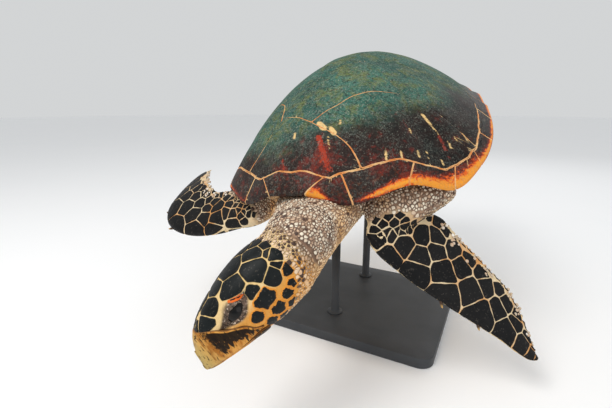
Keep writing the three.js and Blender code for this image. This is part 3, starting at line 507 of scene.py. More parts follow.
@dataclass
class ShellMarks:
    """This animal's own markings over the whole shell."""

    streaks: tuple[Mark, ...] = (Mark((35, -229), (60, -268), 4.4), Mark((-16, -268), (-11, -278), 1.5))
    scars: tuple[Mark, ...] = (
        Mark((167, -113), (191, -129), 3.2, 0.6), Mark((49, -226), (55, -241), 1.9, 0.4),
        Mark((38, -212), (28, -205), 5.5, 0.3), Mark((55, -216), (49, -210), 4.8, 0.3),
        Mark((-9, -224), (-8, -230), 2.4),
        Mark((62, -198), (60, -192), 2.0), Mark((136, -229), (133, -216), 1.8),
        Mark((155, -215), (152, -206), 1.6), Mark((174, -192), (171, -185), 1.7),
        Mark((184, -180), (181, -173), 1.5), Mark((202, -169), (198, -161), 1.6),
        Mark((213, -141), (206, -131), 1.8), Mark((222, -125), (213, -115), 1.8),
        Mark((231, -104), (222, -94), 1.7),
        Mark((226, -115), (219, -108), 1.5), Mark((157, -160), (154, -154), 1.4),
    )
    ruddy: tuple[Mark, ...] = (Mark((193, -132), (208, -152), 2.6), Mark((12, -284), (20, -290), 2.0))

    def values(self, points: Array) -> dict[str, Array]:
        """Values carried by the plates: algae film with painted water light, warmth, seam strength and how far
        inside each kind of mark.

        Args:
            points: points of the shell (..., 3).
        """
        x, y, z = (points[..., i] for i in range(3))
        # Painted light: the green film grows toward the top, the rear and the animal's right. It is partly
        # algae and partly a painted greenish cast of water light falling from above. Warmth rises where it is
        # thin.
        height = z + 0.2 * (y + 150) - 0.16 * x + 9 * ripple(points, 120, 51)
        film = 0.05 + 0.95 * smooth_step(12, 104, height)
        near = smooth_step(-150, -250, y)
        warmth = 0.55 * near + 0.3 * (1 - film) + 0.25 * ripple(points, 90, 53)
        worn_clear = np.maximum(smooth_step(-30, -110, x), smooth_step(110, 190, y))
        hidden = smooth_step(-112, -84, y) * smooth_step(4, 30, z) * (1 - 0.6 * worn_clear)
        seam = (1.0 - 0.45 * smooth_step(30, 90, z)) * (1 - 0.94 * hidden)
        found = {"film": film, "warmth": warmth, "seam": seam}
        for name, marks in (("streak", self.streaks), ("scar", self.scars), ("ruddy", self.ruddy)):
            found[name] = np.maximum(np.max([m.inside(points[..., :2]) for m in marks], axis=0), -20.0)
        return found


@dataclass
class BackPlates:
    """The horny plates of the back: star-shaped grids from a middle point out to each outline."""

    net: SeamNet
    finish: bpy.types.Material
    marks: ShellMarks = field(default_factory=ShellMarks)
    around: int = 260
    thickness: float = 6.0
    gap: float = 0.12
    edge_drop: float = 1.1
    edge_width: float = 3.2
    overlap: float = 0.9
    # how far a spoke may slant across the edge before its rings stop closing up
    least_lean: float = 0.35
    # plates are told apart in the colouring by numbers from 0 to 1, this far apart
    tag_step: float = 0.618
    # distances in from the edge of the outer rings, then shares of the way to the middle
    edge_rings: tuple[float, ...] = (0.0, 0.35, 0.8, 1.4, 2.2, 3.2, 4.6, 6.6, 9.5)
    inner_rings: tuple[float, ...] = tuple(np.linspace(0.85, 0.03, 20))

    def ring_plan(self, outline: Array) -> tuple[Array, Array, Array, Array]:
        """Rings of plan points from the middle outward.

        Args:
            outline: closed outline in plan.

        Returns:
            plan (rings, around, 2), distance from the edge and distance along the edge
            (rings, around), and the middle point.
        """
        closed = np.concatenate([outline, outline[:1]])
        run = run_along(closed)
        spots = np.arange(self.around) / self.around * run[-1]
        line = np.stack([np.interp(spots, run, closed[:, i]) for i in (0, 1)], -1)
        for _ in range(2):
            line = (np.roll(line, 1, 0) + 2 * line + np.roll(line, -1, 0)) / 4
        middle = line.mean(0)
        spoke = line - middle
        reach = np.linalg.norm(spoke, axis=1)
        tangent = unit(np.roll(line, -1, 0) - np.roll(line, 1, 0))
        lean = np.abs(spoke[:, 0] * tangent[:, 1] - spoke[:, 1] * tangent[:, 0]) / reach
        lean = np.maximum(lean, self.least_lean)
        shares = [1 - (self.gap + e) / (reach * lean) for e in self.edge_rings]
        rest = shares[-1]
        shares += [rest * s for s in self.inner_rings]
        share = np.stack(shares[::-1])
        plan = middle + share[..., None] * spoke
        edge = (1 - share) * reach * lean
        return plan, edge, np.broadcast_to(spots, edge.shape), middle

    def plate(self, name: str, outline: Array) -> bpy.types.Object:
        """One plate: a top that rolls over at its edge and laps the plate behind, a wall and an underside.

        Args:
            name: the solid it stands for.
            outline: closed outline in plan (n, 2).

        Returns:
            the piece.
        """
        plan, edge, spots, middle = self.ring_plan(outline)
        rolled = -self.edge_drop * np.maximum(1 - edge / self.edge_width, 0) ** 2
        rear = (plan[..., 1] - middle[1]) / np.abs(plan[..., 1] - middle[1]).max()
        relief = rolled + self.overlap * (0.5 * rear + 0.25) + 0.25 * ripple(plan, 60, 31)
        top = self.net.shell.at(plan, relief)
        low = self.net.shell.at(plan[[-1, 12, 0]], np.full((3, self.around), -self.thickness))
        rings = np.concatenate([top, low])
        tag = sum(map(ord, name)) * self.tag_step % 1.0
        values = {
            "edge": np.concatenate([edge, np.zeros((3, self.around))]),
            "run": np.concatenate([spots, spots[:3]]),
            "plate": np.full(rings.shape[:2], tag),
            **self.marks.values(rings),
        }
        return show(loft(rings, values).make(name.replace("shell_", "horn_"), self.finish), "back_plates", name)

    def build(self) -> None:
        """All the plates of the back."""
        for name, outline in self.net.outlines().items():
            self.plate(name, outline)


@dataclass
class RimPlates:
    """The plates round the shell's edge: a section carried along the rim, one closed length per plate."""

    net: SeamNet
    finish: bpy.types.Material
    marks: ShellMarks = field(default_factory=ShellMarks)
    thickness: float = 6.0
    lip: float = 6.5
    bulge: float = 1.6
    gap: float = 0.12
    steps: int = 46
    edge_drop: float = 1.0
    edge_width: float = 3.0
    pinch: float = 0.9
    # where the even steps begin, in from each end
    even_from: float = 8.0
    # sets the spurs of the free edge apart from those of the inner seam
    run_apart: float = 400.0
    nuchal_tag: float = 0.55
    # rim positions and the breadth of the amber band along the free edge there; the right side's is narrower
    band: Array = measures([
        [0, -9], [0.98, -9], [1.02, 13], [1.22, 10], [1.5, 2], [1.75, -3], [2, -1], [2.5, 5], [3, 10],
        [3.5, 15],
        [4, 20], [4.5, 18], [5, 9], [5.5, 4.5], [6, 3], [7, 3], [8, 4], [13, 5],
    ])
    narrower: float = 0.22

    def section(self, k: Array, side: Side) -> tuple[Array, Array, Array]:
        """The closed section at rim positions.

        Args:
            k: rim positions (n,).
            side: which half of the rim.

        Returns:
            points (n, m, 3), distance from the inner seam and from the free edge (n, m).
        """
        row = along(self.net.shell.joints, k)
        rim, inner = side.turned(row[:, :3]), self.net.leaned(side.turned(row[:, 3:5]))
        out = unit(rim[:, :2] - inner)
        width = np.linalg.norm(rim[:, :2] - inner, axis=1)
        near = np.array([self.gap, *EDGE_STEPS])
        further = 0.0 * k[:, None] + np.linspace(0.22, 0.96, 22)
        shares = np.concatenate([near[None] / width[:, None], further], 1)
        from_inner = shares * width[:, None]
        plan = inner[:, None] + out[:, None] * from_inner[..., None]
        drop = -self.edge_drop * np.maximum(1 - from_inner / self.edge_width, 0) ** 2
        drop = drop + 0.2 * ripple(plan, 50, 41)
        top = self.net.shell.at(plan, drop)
        tooth = self.net.shell.tooth(k)
        outward = np.concatenate([out, np.zeros((len(k), 1))], 1)
        top = top + smooth_step(0.5, 1.0, shares)[..., None] * tooth[:, None, None] * outward[:, None]
        edge = rim + outward * tooth[:, None]
        turn_down = np.linspace(0.1, 1.0, 9) * np.pi
        bead = (edge[:, None] + outward[:, None] * (self.bulge * np.sin(turn_down))[:, None]
                + np.array([0, 0, 1]) * ((np.cos(turn_down) - 1) * self.lip / 2)[:, None])
        depth = np.linspace(0.1, 1.0, 14)
        foot = edge - np.array([0, 0, self.lip])
        under = foot[:, None] - outward[:, None] * (depth * width[:, None])[..., None]
        low = self.net.shell.at(inner + out * self.gap, np.full(len(k), -self.thickness))
        under = under + (low[:, None] - under[:, -1:]) * (depth**1.5)[:, None]
        points = np.concatenate([top, bead, under], 1)
        to_edge = np.linalg.norm(points - edge[:, None], axis=-1)
        inner_far = np.concatenate([from_inner, np.full((len(k), len(turn_down) + len(depth)), 99.0)], 1)
        to_edge[:, top.shape[1]:] *= -1
        return points, inner_far, to_edge

    def length(self, t: Array, length: float, section: tuple[Array, Array, Array], run: Array, tag: float,
               breadth: Array | float) -> Shape:
        """One closed length of the rim, its ends rolled over.

        Args:
            t: shares of the way along it (n,).
            length: in millimetres.
            section: its points and distances, as from section.
            run: distance along it at t, for the seams at its ends.
            tag: its own number from 0 to 1.
            breadth: of the amber band.
        """
        points, inner_far, to_edge = section
        near_end = np.minimum(t, 1 - t)[:, None] * length
        pinch = self.pinch * np.maximum(1 - near_end / self.edge_width, 0) ** 2
        points = points + unit(points.mean(1, keepdims=True) - points) * pinch[..., None]
        return loft(points, {
            "edge": np.minimum(inner_far, near_end),
            "run": np.where(inner_far < near_end, run[:, None], to_edge + self.run_apart),
            "plate": np.full(inner_far.shape, tag),
            "band": (breadth - np.abs(to_edge)) / np.maximum(breadth, 4),
            "belly": smooth_step(7.0, 15.0, -to_edge),
            **self.marks.values(points),
        })

    def spaced(self, length: float, steps: int) -> Array:
        """Shares of the way along a length, closer near its ends."""
        ends = np.array([self.gap, *EDGE_STEPS])
        even = np.linspace(self.even_from, length - self.even_from, steps)
        return np.concatenate([ends, even, length - ends[::-1]]) / length

    def plate(self, start: float, side: Side) -> Shape:
        """The rim plate between a joint and the next.

        Args:
            start: the first joint.
            side: which half of the rim.

        Returns:
            its closed shape.
        """
        ends_at = along(self.net.shell.joints, np.array([start, start + 1]))[:, :2]
        length = np.linalg.norm(ends_at[1] - ends_at[0])
        t = self.spaced(length, self.steps)
        k = start + t
        breadth = np.interp(k, *self.band.T)[:, None]
        if side is Side.RIGHT:
            breadth = np.where(k[:, None] < 2, -9.0, breadth * self.narrower)
        tag = (start * 0.37 + side.value * 0.21) % 1.0
        return self.length(t, length, self.section(k, side), k * 60, tag, breadth)

    def nuchal(self) -> Shape:
        """The single plate over the nape, one section run from its left joint to its right one."""
        length = 2 * self.net.shell.joints[1, 3]
        t = self.spaced(length, 2 * self.steps)
        k = np.abs(1 - 2 * t)
        halves = self.section(k[t < 0.5], Side.RIGHT), self.section(k[t >= 0.5], Side.LEFT)
        section = tuple(np.concatenate(pair) for pair in zip(*halves))
        return self.length(t, length, section, t * length, self.nuchal_tag, self.band[0, 1])

    def build(self) -> None:
        """The rim plates in the groups of their solids."""
        groups = {"front": range(1, 4), "bridge": range(4, 8), "rear": range(8, self.net.shell.last)}
        for side in Side:
            for word, joints in groups.items():
                plates = Shape.join([self.plate(float(k), side) for k in joints])
                piece = plates.make(f"horn_rim_{word}_{side.word}", self.finish)
                show(piece, "rim_plates", f"shell_rim_plates_{word}_{side.word}")
        show(self.nuchal().make("horn_nuchal_plate", self.finish), "rim_plates", "shell_nuchal_plate")


# ---- the flesh ---------------------------------------------------------------------------------


@dataclass
class Surface:
    """One limb, neck or head as a grid of points, with the row and angle that made each."""

    name: str
    points: Array
    rows: Array
    angles: Array

    def shape(self) -> Shape:
        """The grid closed at both ends."""
        return loft(self.points)

    @property
    def normals(self) -> Array:
        """Outward directions at the grid points."""
        down = np.gradient(self.points, axis=0)
        round_ = np.roll(self.points, -1, 1) - np.roll(self.points, 1, 1)
        n = unit(np.cross(round_, down))
        middle = self.points.mean(1, keepdims=True)
        sign = np.sign(((self.points - middle) * n).sum(-1).mean())
        return n * sign


@dataclass
class HeadForm:
    """The head in its own frame: x to its left, y back from the beak's tip, z up."""

    # distance back from the tip, half width, top, bottom
    table: Array = measures([
        [0, 2.4, -21, -31], [5, 8.5, -4, -33.5], [13, 14.5, 11, -35.5], [25, 21.5, 22, -37.5],
        [42, 28.3, 30.7, -40], [64, 35, 37.7, -43.5], [84, 40.3, 42.6, -46], [109, 44.2, 45.6, -48],
        [134, 44.6, 44.6, -48.5], [168, 41, 39.6, -47],
    ])
    square: float = 2.35
    rear: Spot = (57.0, -403.0, -10.0)
    turned: Spot = (-26.6, 15.0, -12.0)
    eye_centre: Spot = (20.6, 68.6, 9.4)
    eye_radius: float = 16.2
    lid_middle: Pair = (66.5, 13.0)
    lid_slope: float = 20.0
    brow: Pair = (78.0, 26.0)
    lid_half: Pair = (17.0, 4.9)
    # how far the skin lies inside the head, and how much deeper it lies under the horn
    depth: float = 1.1
    horn_depth: float = 3.0
    # how far the lids stand off the eye, and how far their opening is sunk
    lid_off: float = 1.9
    opening_depth: float = 6.0
    mouth: Array = measures([
        [-6, -33], [9, -31.5], [26, -31], [45, -32], [62, -31], [74, -31], [85, -34],
    ])
    beak_top: Array = measures([
        [80, -25], [71, -22], [66, -12], [62, -6], [53, -3], [44, 2], [38, 9], [29, 14], [20, 17],
    ])

    def __post_init__(self) -> None:
        """Places the head on the neck, and samples the table for looking up by distance."""
        turned = turn("z", self.turned[0]) @ turn("x", self.turned[1]) @ turn("y", self.turned[2])
        self.place = Place(turned, np.array(self.rear) + turned @ np.array([0, -self.table[-1, 0], 0]))
        self._k = np.linspace(0, len(self.table) - 1, 901)
        self._back = along(self.table, self._k)[:, 0]

    def row(self, s: Array) -> Array:
        """Values of the table at distances back from the tip."""
        return along(self.table, np.interp(s, self._back, self._k))

    def at(self, s: Array, phi: Array, out: Array | float = 0.0) -> Array:
        """Surface points at s back from the tip and phi degrees round from the left, moved out.

        x = half |cos phi|^(2/n), z = middle + tall |sin phi|^(2/n), n the squareness.

        Args:
            s: distances, any shape.
            phi: angles of the same shape.
            out: how far out.

        Returns:
            points (..., 3) in the head's frame.
        """
        s, phi = np.broadcast_arrays(np.asarray(s, float), np.asarray(phi, float))

        def bare(s: Array, phi: Array) -> Array:
            """The surface itself."""
            row = self.row(s)
            angle = np.radians(phi)
            x = row[..., 1] * power(np.cos(angle), 2 / self.square)
            tall = (row[..., 2] - row[..., 3]) / 2
            z = (row[..., 2] + row[..., 3]) / 2 + tall * power(np.sin(angle), 2 / self.square)
            return np.stack([x, s, z], -1)

        points = bare(s, phi)
        if np.isscalar(out) and out == 0:
            return points
        along_s = bare(np.minimum(s + 1.5, self.table[-1, 0]), phi) - bare(np.maximum(s - 1.5, 0), phi)
        round_ = bare(s, phi + 2.0) - bare(s, phi - 2.0)
        normal = unit(np.cross(round_, along_s))
        centre = points * [0, 1, 0] + np.array([0, 0, -3.0])
        normal *= np.sign(((points - centre) * normal).sum(-1, keepdims=True))
        return points + normal * np.asarray(out)[..., None]

    def beak_share(self, points: Array) -> Array:
        """How far inside the beak's outline points of the head lie, in millimetres, negative outside."""
        line = np.concatenate([self.mouth[::-1], [[-6, -60], [80, -60], [85, -38]]])
        lower = self.inside(points[..., 1:], line)
        line = np.concatenate([self.mouth, self.beak_top, [[19, 60], [-6, 60]]])
        return np.maximum(self.inside(points[..., 1:], line), lower)

    @staticmethod
    def inside(plan: Array, outline: Array) -> Array:
        """Signed distance of plan points inside a closed outline.

        Args:
            plan: places (..., 2).
            outline: corners (n, 2).

        Returns:
            distances, negative outside.
        """
        a, b = outline, np.roll(outline, -1, 0)
        way = b - a
        rel = plan[..., None, :] - a
        t = np.clip((rel * way).sum(-1) / (way**2).sum(-1), 0, 1)
        far = np.linalg.norm(rel - t[..., None] * way, axis=-1).min(-1)
        y, z = plan[..., None, 0], plan[..., None, 1]
        meets = a[:, 0] + (z - a[:, 1]) / (b[:, 1] - a[:, 1] + 1e-12) * way[:, 0]
        hit = ((a[:, 1] > z) != (b[:, 1] > z)) & (y < meets)
        return np.where(hit.sum(-1) % 2 == 1, far, -far)

    def lids(self, points: Array) -> tuple[Array, Array, Array]:
        """Where points lie about the eye's opening.

        Args:
            points: points of the head (..., 3).

        Returns:
            the elliptical radius (1 on the lid's edge), and the distances along the opening
            (backward) and across it (upward), in shares of its half sizes.
        """
        angle = math.radians(self.lid_slope)
        y, z = points[..., 1] - self.lid_middle[0], points[..., 2] - self.lid_middle[1]
        t = (y * math.cos(angle) + z * math.sin(angle)) / self.lid_half[0]
        n = (z * math.cos(angle) - y * math.sin(angle)) / self.lid_half[1]
        n = n * (1 + 0.8 * t * t)
        return np.hypot(t, n), t, n

    def skin(self, points: Array) -> Array:
        """Head surface points drawn in under the scales and the horn, with lids about each eye.

        Args:
            points: points of the head (..., 3).

        Returns:
            the points moved.
        """
        under = smooth_step(-1.0, 2.5, self.beak_share(points))
        centre = points * [0.25, 0.9, 0] + [0, 8, -3]
        inward = unit(centre - points)
        moved = points + inward * (self.depth + self.horn_depth * under)[..., None]
        for side in Side:
            eye = np.array(self.eye_centre) * [side.value, 1, 1]
            way = moved - eye
            reach = np.linalg.norm(way, axis=-1)
            radius, t, n = self.lids(points)
            near = 1 - smooth_step(1.35, 2.5, np.hypot(t * 0.95, n * 0.62))
            near = (points[..., 0] * side.value > 0) * near
            fold = 0.9 * np.sin((np.hypot(t, n * 0.6) - 1) * 9 + 2.2 * ripple(points, 9, 3))
            fold = fold * smooth_step(1.05, 1.25, radius) + 0.8 * (1 - smooth_step(1.0, 1.3, radius))
            hug = self.eye_radius + self.lid_off + fold
            hug = hug - self.opening_depth * (1 - smooth_step(0.9, 1.03, radius))
            near = near * smooth_step(4, 12, reach)
            moved = eye + unit(way) * (reach + (hug - reach) * near)[..., None]
        return moved

    def surface(self) -> Surface:
        """The head's skin as a grid in the body's frame."""
        s = np.concatenate([np.linspace(0.5, 40, 34), np.linspace(41, 96, 62), np.linspace(98, 149, 35)])
        phi = np.arange(200) * 360 / 200 - 180
        rows, angles = np.meshgrid(s, phi, indexing="ij")
        return Surface("head", self.place(self.skin(self.at(rows, angles))), rows, angles)


@dataclass
class Limb:
    """A round limb along a table of centres with half widths and half heights."""

    name: str
    table: Array
    steps: int
    sides: int
    depth: float = 1.0
    fold: float = 0.0
    fold_length: float = 13.0

    def reach(self, k: Array, angle: Array) -> tuple[Array, Array]:
        """Centres at row positions, and how far the skin stands from them at angles (radians).

        Args:
            k: row positions (n,).
            angle: angles (m,).

        Returns:
            centres (n, 3) and offsets from them (n, m, 3).
        """
        last = len(self.table) - 1
        row = along(self.table, k)
        ahead = along(self.table, np.minimum(k + 0.05, last)) - along(self.table, np.maximum(k - 0.05, 0))
        across = unit(np.cross(ahead[:, :3], [0, 0, 1]))
        up = unit(np.cross(across, ahead[:, :3]))
        sizes = row[:, 3:5] - self.depth
        c, s = power(np.cos(angle), 0.92), power(np.sin(angle), 0.92)
        reach = (sizes[:, :1] * c)[..., None] * across[:, None] + (sizes[:, 1:] * s)[..., None] * up[:, None]
        return row[:, :3], reach

    def surface(self) -> Surface:
        """Ellipses square to the line of centres, drawn in by the coat's depth, with soft folds across."""
        k = np.linspace(0, len(self.table) - 1, self.steps)
        angle = np.arange(self.sides) * 2 * np.pi / self.sides
        centre, reach = self.reach(k, angle)
        run = run_along(centre)
        points = centre[:, None] + reach
        crease = np.sin(run[:, None] * 2 * np.pi / self.fold_length + 2.6 * ripple(points, 70, 17))
        inset = self.fold * (1 - crease) * (0.6 + 0.4 * ripple(points, 60, 19))
        points = points - unit(reach) * inset[..., None]
        rows, angles = np.meshgrid(k, np.degrees(angle), indexing="ij")
        return Surface(self.name, points, rows, angles)


@dataclass
class Flipper:
    """A flipper between its leading and trailing edges, a thick arm becoming a thin blade."""

    name: str
    # leading edge x, y, z, trailing edge x, y, z, thickness, blade-likeness 0..1
    table: Array
    steps: int = 110
    sides: int = 72
    depth: float = 1.0

    @staticmethod
    def beaded(share: Array) -> Array:
        """The station up to which beads cover a front flipper, further at its trailing side."""
        return 1.75 + 1.1 * smooth_step(0.25, 0.85, share)

    @property
    def upper(self) -> float:
        """Which face, 1 or -1, is the animal's back side: the one that looks up near the shoulder."""
        pair = [self.at(np.array(1.5), np.array(0.5), over)[2] for over in (1.0, -1.0)]
        return 1.0 if pair[0] > pair[1] else -1.0

    def at(self, k: Array, share: Array, over: Array | float = 1.0, inset: float = 0.0) -> Array:
        """Points at station k and share of the chord, on one face (over 1) or the other (-1).

        height = thick/2 sin(a) (1 + blade (0.3 - 1.05 share)) / (1 - 0.13 blade), cos(a) = 1 - 2 share.

        Args:
            k: stations.
            share: shares of the chord from the leading edge.
            over: the face.
            inset: how far under the surface.

        Returns:
            points (..., 3).
        """
        k, share, over = np.broadcast_arrays(*(np.asarray(v, float) for v in (k, share, over)))
        last = len(self.table) - 1
        row = along(self.table, np.clip(k, 0, last))
        lead, trail = row[..., :3], row[..., 3:6]
        ahead, behind = (along(self.table, np.clip(k + step, 0, last)) for step in (0.1, -0.1))
        onward = (ahead[..., :3] + ahead[..., 3:6]) - (behind[..., :3] + behind[..., 3:6])
        chord = trail - lead
        face = unit(np.cross(onward, chord))
        taper = (1 + row[..., 7] * (0.3 - 1.05 * share)) / (1 - 0.13 * row[..., 7])
        sine = 2 * np.sqrt(np.maximum(share * (1 - share), 0))
        height = np.maximum(row[..., 6] / 2 * sine * taper - inset * np.minimum(sine * 2, 1), 0.2 * sine) * over
        spread = 1 - 2 * inset / np.linalg.norm(chord, axis=-1)
        return (lead + trail) / 2 + chord * ((share - 0.5) * spread)[..., None] + face * height[..., None]

    def surface(self) -> Surface:
        """The flipper's skin as a grid, drawn in by the coat's depth."""
        last = len(self.table) - 1
        k = last * np.linspace(0, 1, self.steps) ** 0.9
        angle = np.arange(self.sides) * 2 * np.pi / self.sides
        rows, angles = np.meshgrid(k, angle, indexing="ij")
        points = self.at(rows, (1 - np.cos(angles)) / 2, np.sign(np.sin(angles) + 1e-9), self.depth)
        return Surface(self.name, points, rows, np.degrees(angles))


@dataclass
class Trunk:
    """The flesh inside the shell: a lid under the back plates, a wall, and a shallow bowl of belly."""

    shell: ShellForm
    under_plate: float = 11.5
    belly_z: float = -70.0
    # y and half width of the plastron
    plastron: Array = measures([
        [-236, 34], [-205, 88], [-150, 128], [-95, 150], [-35, 158], [40, 150],
        [110, 124], [170, 92], [222, 60], [252, 34],
    ])
    angles: int = 180

    def __post_init__(self) -> None:
        """Samples the outlines of the plastron and of the back plates by angle."""
        edge = along(self.plastron, np.linspace(0, len(self.plastron) - 1, 120))[:, ::-1]
        edge = np.concatenate([[[0, edge[0, 1]]], edge, [[0, edge[-1, 1]]]])
        self._belly = self.by_angle(edge)
        self._inner = self.by_angle(self.shell.inner(np.linspace(0, self.shell.last, 131)))
        self._rim = self.by_angle(along(self.shell.joints, np.linspace(0, self.shell.last, 521))[:, :3])

    def by_angle(self, outline: Array) -> tuple[Array, Array, Array]:
        """Angle from straight ahead, reach and height of outline points."""
        y = self.shell.crown_y
        angle = np.arctan2(np.maximum(outline[:, 0], 0), y - outline[:, 1])
        return angle, np.hypot(outline[:, 0], outline[:, 1] - y), outline[:, -1]

    def belly(self, x: Array, y: Array) -> Array:
        """Height of the belly flesh, z = low + 7 (x/150)^2 + 8 ((y - 10)/245)^2."""
        return self.belly_z + 7 * (x / 150) ** 2 + 8 * ((y - 10) / 245) ** 2

    def half(self, y: Array) -> Array:
        """Half width of the plastron at y."""
        rows = along(self.plastron, np.linspace(0, len(self.plastron) - 1, 200))
        return np.interp(y, *rows.T)

    def rim(self, angle: Array) -> tuple[Array, Array]:
        """Reach and height of the shell's rim at angles from straight ahead."""
        a = np.abs(angle)
        return np.interp(a, *self._rim[:2]), np.interp(a, self._rim[0], self._rim[2])

    def surface(self) -> Surface:
        """The trunk as rings of points, top to bottom."""
        angle = np.linspace(-np.pi, np.pi, self.angles, endpoint=False)
        a = np.abs(angle)
        front, rear = np.maximum(np.cos(angle), 0), np.maximum(-np.cos(angle), 0)
        inner, belly = np.interp(a, *self._inner[:2]), np.interp(a, *self._belly[:2])
        reach, rim_z = self.rim(angle)
        wall = reach - 14 - 36 * front**2 - 30 * rear**2

        def polar(r: Array) -> Array:
            """Plan points at a reach in every direction."""
            return np.stack([np.sin(angle) * r, self.shell.crown_y - np.cos(angle) * r], -1)

        def level(r: Array, z: Array) -> Array:
            """A ring at a reach and height."""
            return np.concatenate([polar(r), np.broadcast_to(z, a.shape)[:, None]], 1)

        depth = np.full(len(a), -self.under_plate)
        rings = [self.shell.at(polar(inner * s), depth) for s in (0.05, 0.22, 0.46, 0.72, 0.96)]
        rings.append(level(np.minimum(wall, inner), np.minimum(rim_z - 9 - 4 * front, 3)))
        rings.append(level(wall * 0.97, np.maximum(rim_z - 24, -50)))
        rings.append(level(wall * 0.55 + belly * 0.45, (rim_z - 20) * 0.5 + (self.belly_z + 8) * 0.5))
        edge = polar(belly * 0.99)
        rings.append(level(belly * 0.99, self.belly(edge[:, 0], edge[:, 1]) + 5))
        for share in (0.9, 0.62, 0.3, 0.05):
            spot = polar(belly * share)
            rings.append(level(belly * share, self.belly(spot[:, 0], spot[:, 1])))
        stack = np.stack(rings)
        k = np.linspace(0, len(stack) - 1, 90)
        points = along(stack.reshape(len(stack), -1), k).reshape(len(k), -1, 3)
        rows, angles = np.meshgrid(k, np.degrees(angle), indexing="ij")
        return Surface("trunk", points, rows, angles)


@dataclass
class Chart:
    """Looks up, for any point near the skin, the surface it belongs to, its place there and its normal."""

    surfaces: list[Surface]
    step: int = 2

    def __post_init__(self) -> None:
        """Gathers thinned grids of all the surfaces in one search tree."""
        thin = (slice(None, None, self.step),) * 2
        self.names = [s.name for s in self.surfaces]
        points, self.normals = (np.concatenate([getattr(s, key)[thin].reshape(-1, 3) for s in self.surfaces])
                                for key in ("points", "normals"))
        self.rows, self.angles = (np.concatenate([getattr(s, key)[thin].ravel() for s in self.surfaces])
                                  for key in ("rows", "angles"))
        self.part = np.repeat(np.arange(len(self.names)), [s.rows[thin].size for s in self.surfaces])
        self.tree = Tree(points)

    def uv(self, part: Array, row: Array, angle: Array) -> Array:
        """A flat map of the skin: each surface unrolled in a cell of its own, three cells across."""
        longest = np.array([s.rows.max() for s in self.surfaces])[part]
        u = (part % 3 + 0.06 + 0.88 * row / longest) / 3
        v = (part // 3 + 0.06 + 0.88 * ((angle + 180) % 360) / 360) / 3
        return np.stack([u, v], -1)


class Tree:
    """Nearest neighbours among points, found with Blender's search tree."""

    def __init__(self, points: Array) -> None:
        """Fills and balances the tree."""
        self.tree = KDTree(len(points))
        for i, p in enumerate(points.tolist()):
            self.tree.insert(p, i)
        self.tree.balance()

    def nearest(self, points: Array, count: int = 1) -> Array:
        """Indices (n, count) of the nearest tree points."""
        return np.array([[hit[1] for hit in self.tree.find_n(p, count)] for p in points.tolist()])


def level_points(mesh: bpy.types.Mesh) -> Array:
    """The points of a mesh, brought back to the body's frame."""
    found = np.empty(len(mesh.vertices) * 3, np.float32)
    mesh.vertices.foreach_get("co", found)
    return BODY.back(found.reshape(-1, 3).astype(float) / MM)


def laid_on(ground: bpy.types.Object, points: Array) -> Array:
    """Points of the body's frame brought to the nearest place on an object's surface.

    Args:
        ground: the object.
        points: points (n, 3).

    Returns:
        points (n, 3) on its surface.
    """
    mesh = bpy.data.meshes.new("probe")
    mesh.vertices.add(len(points))
    mesh.vertices.foreach_set("co", (BODY(points) * MM).astype(np.float32).ravel())
    probe = enter("probe", mesh)
    wrap = probe.modifiers.new("laid", "SHRINKWRAP")
    wrap.target, wrap.wrap_method, wrap.wrap_mode = ground, "NEAREST_SURFACEPOINT", "ON_SURFACE"
    bpy.context.view_layer.update()
    found = level_points(probe.evaluated_get(bpy.context.evaluated_depsgraph_get()).data)
    bpy.data.objects.remove(probe)
    bpy.data.meshes.remove(mesh)
    return found


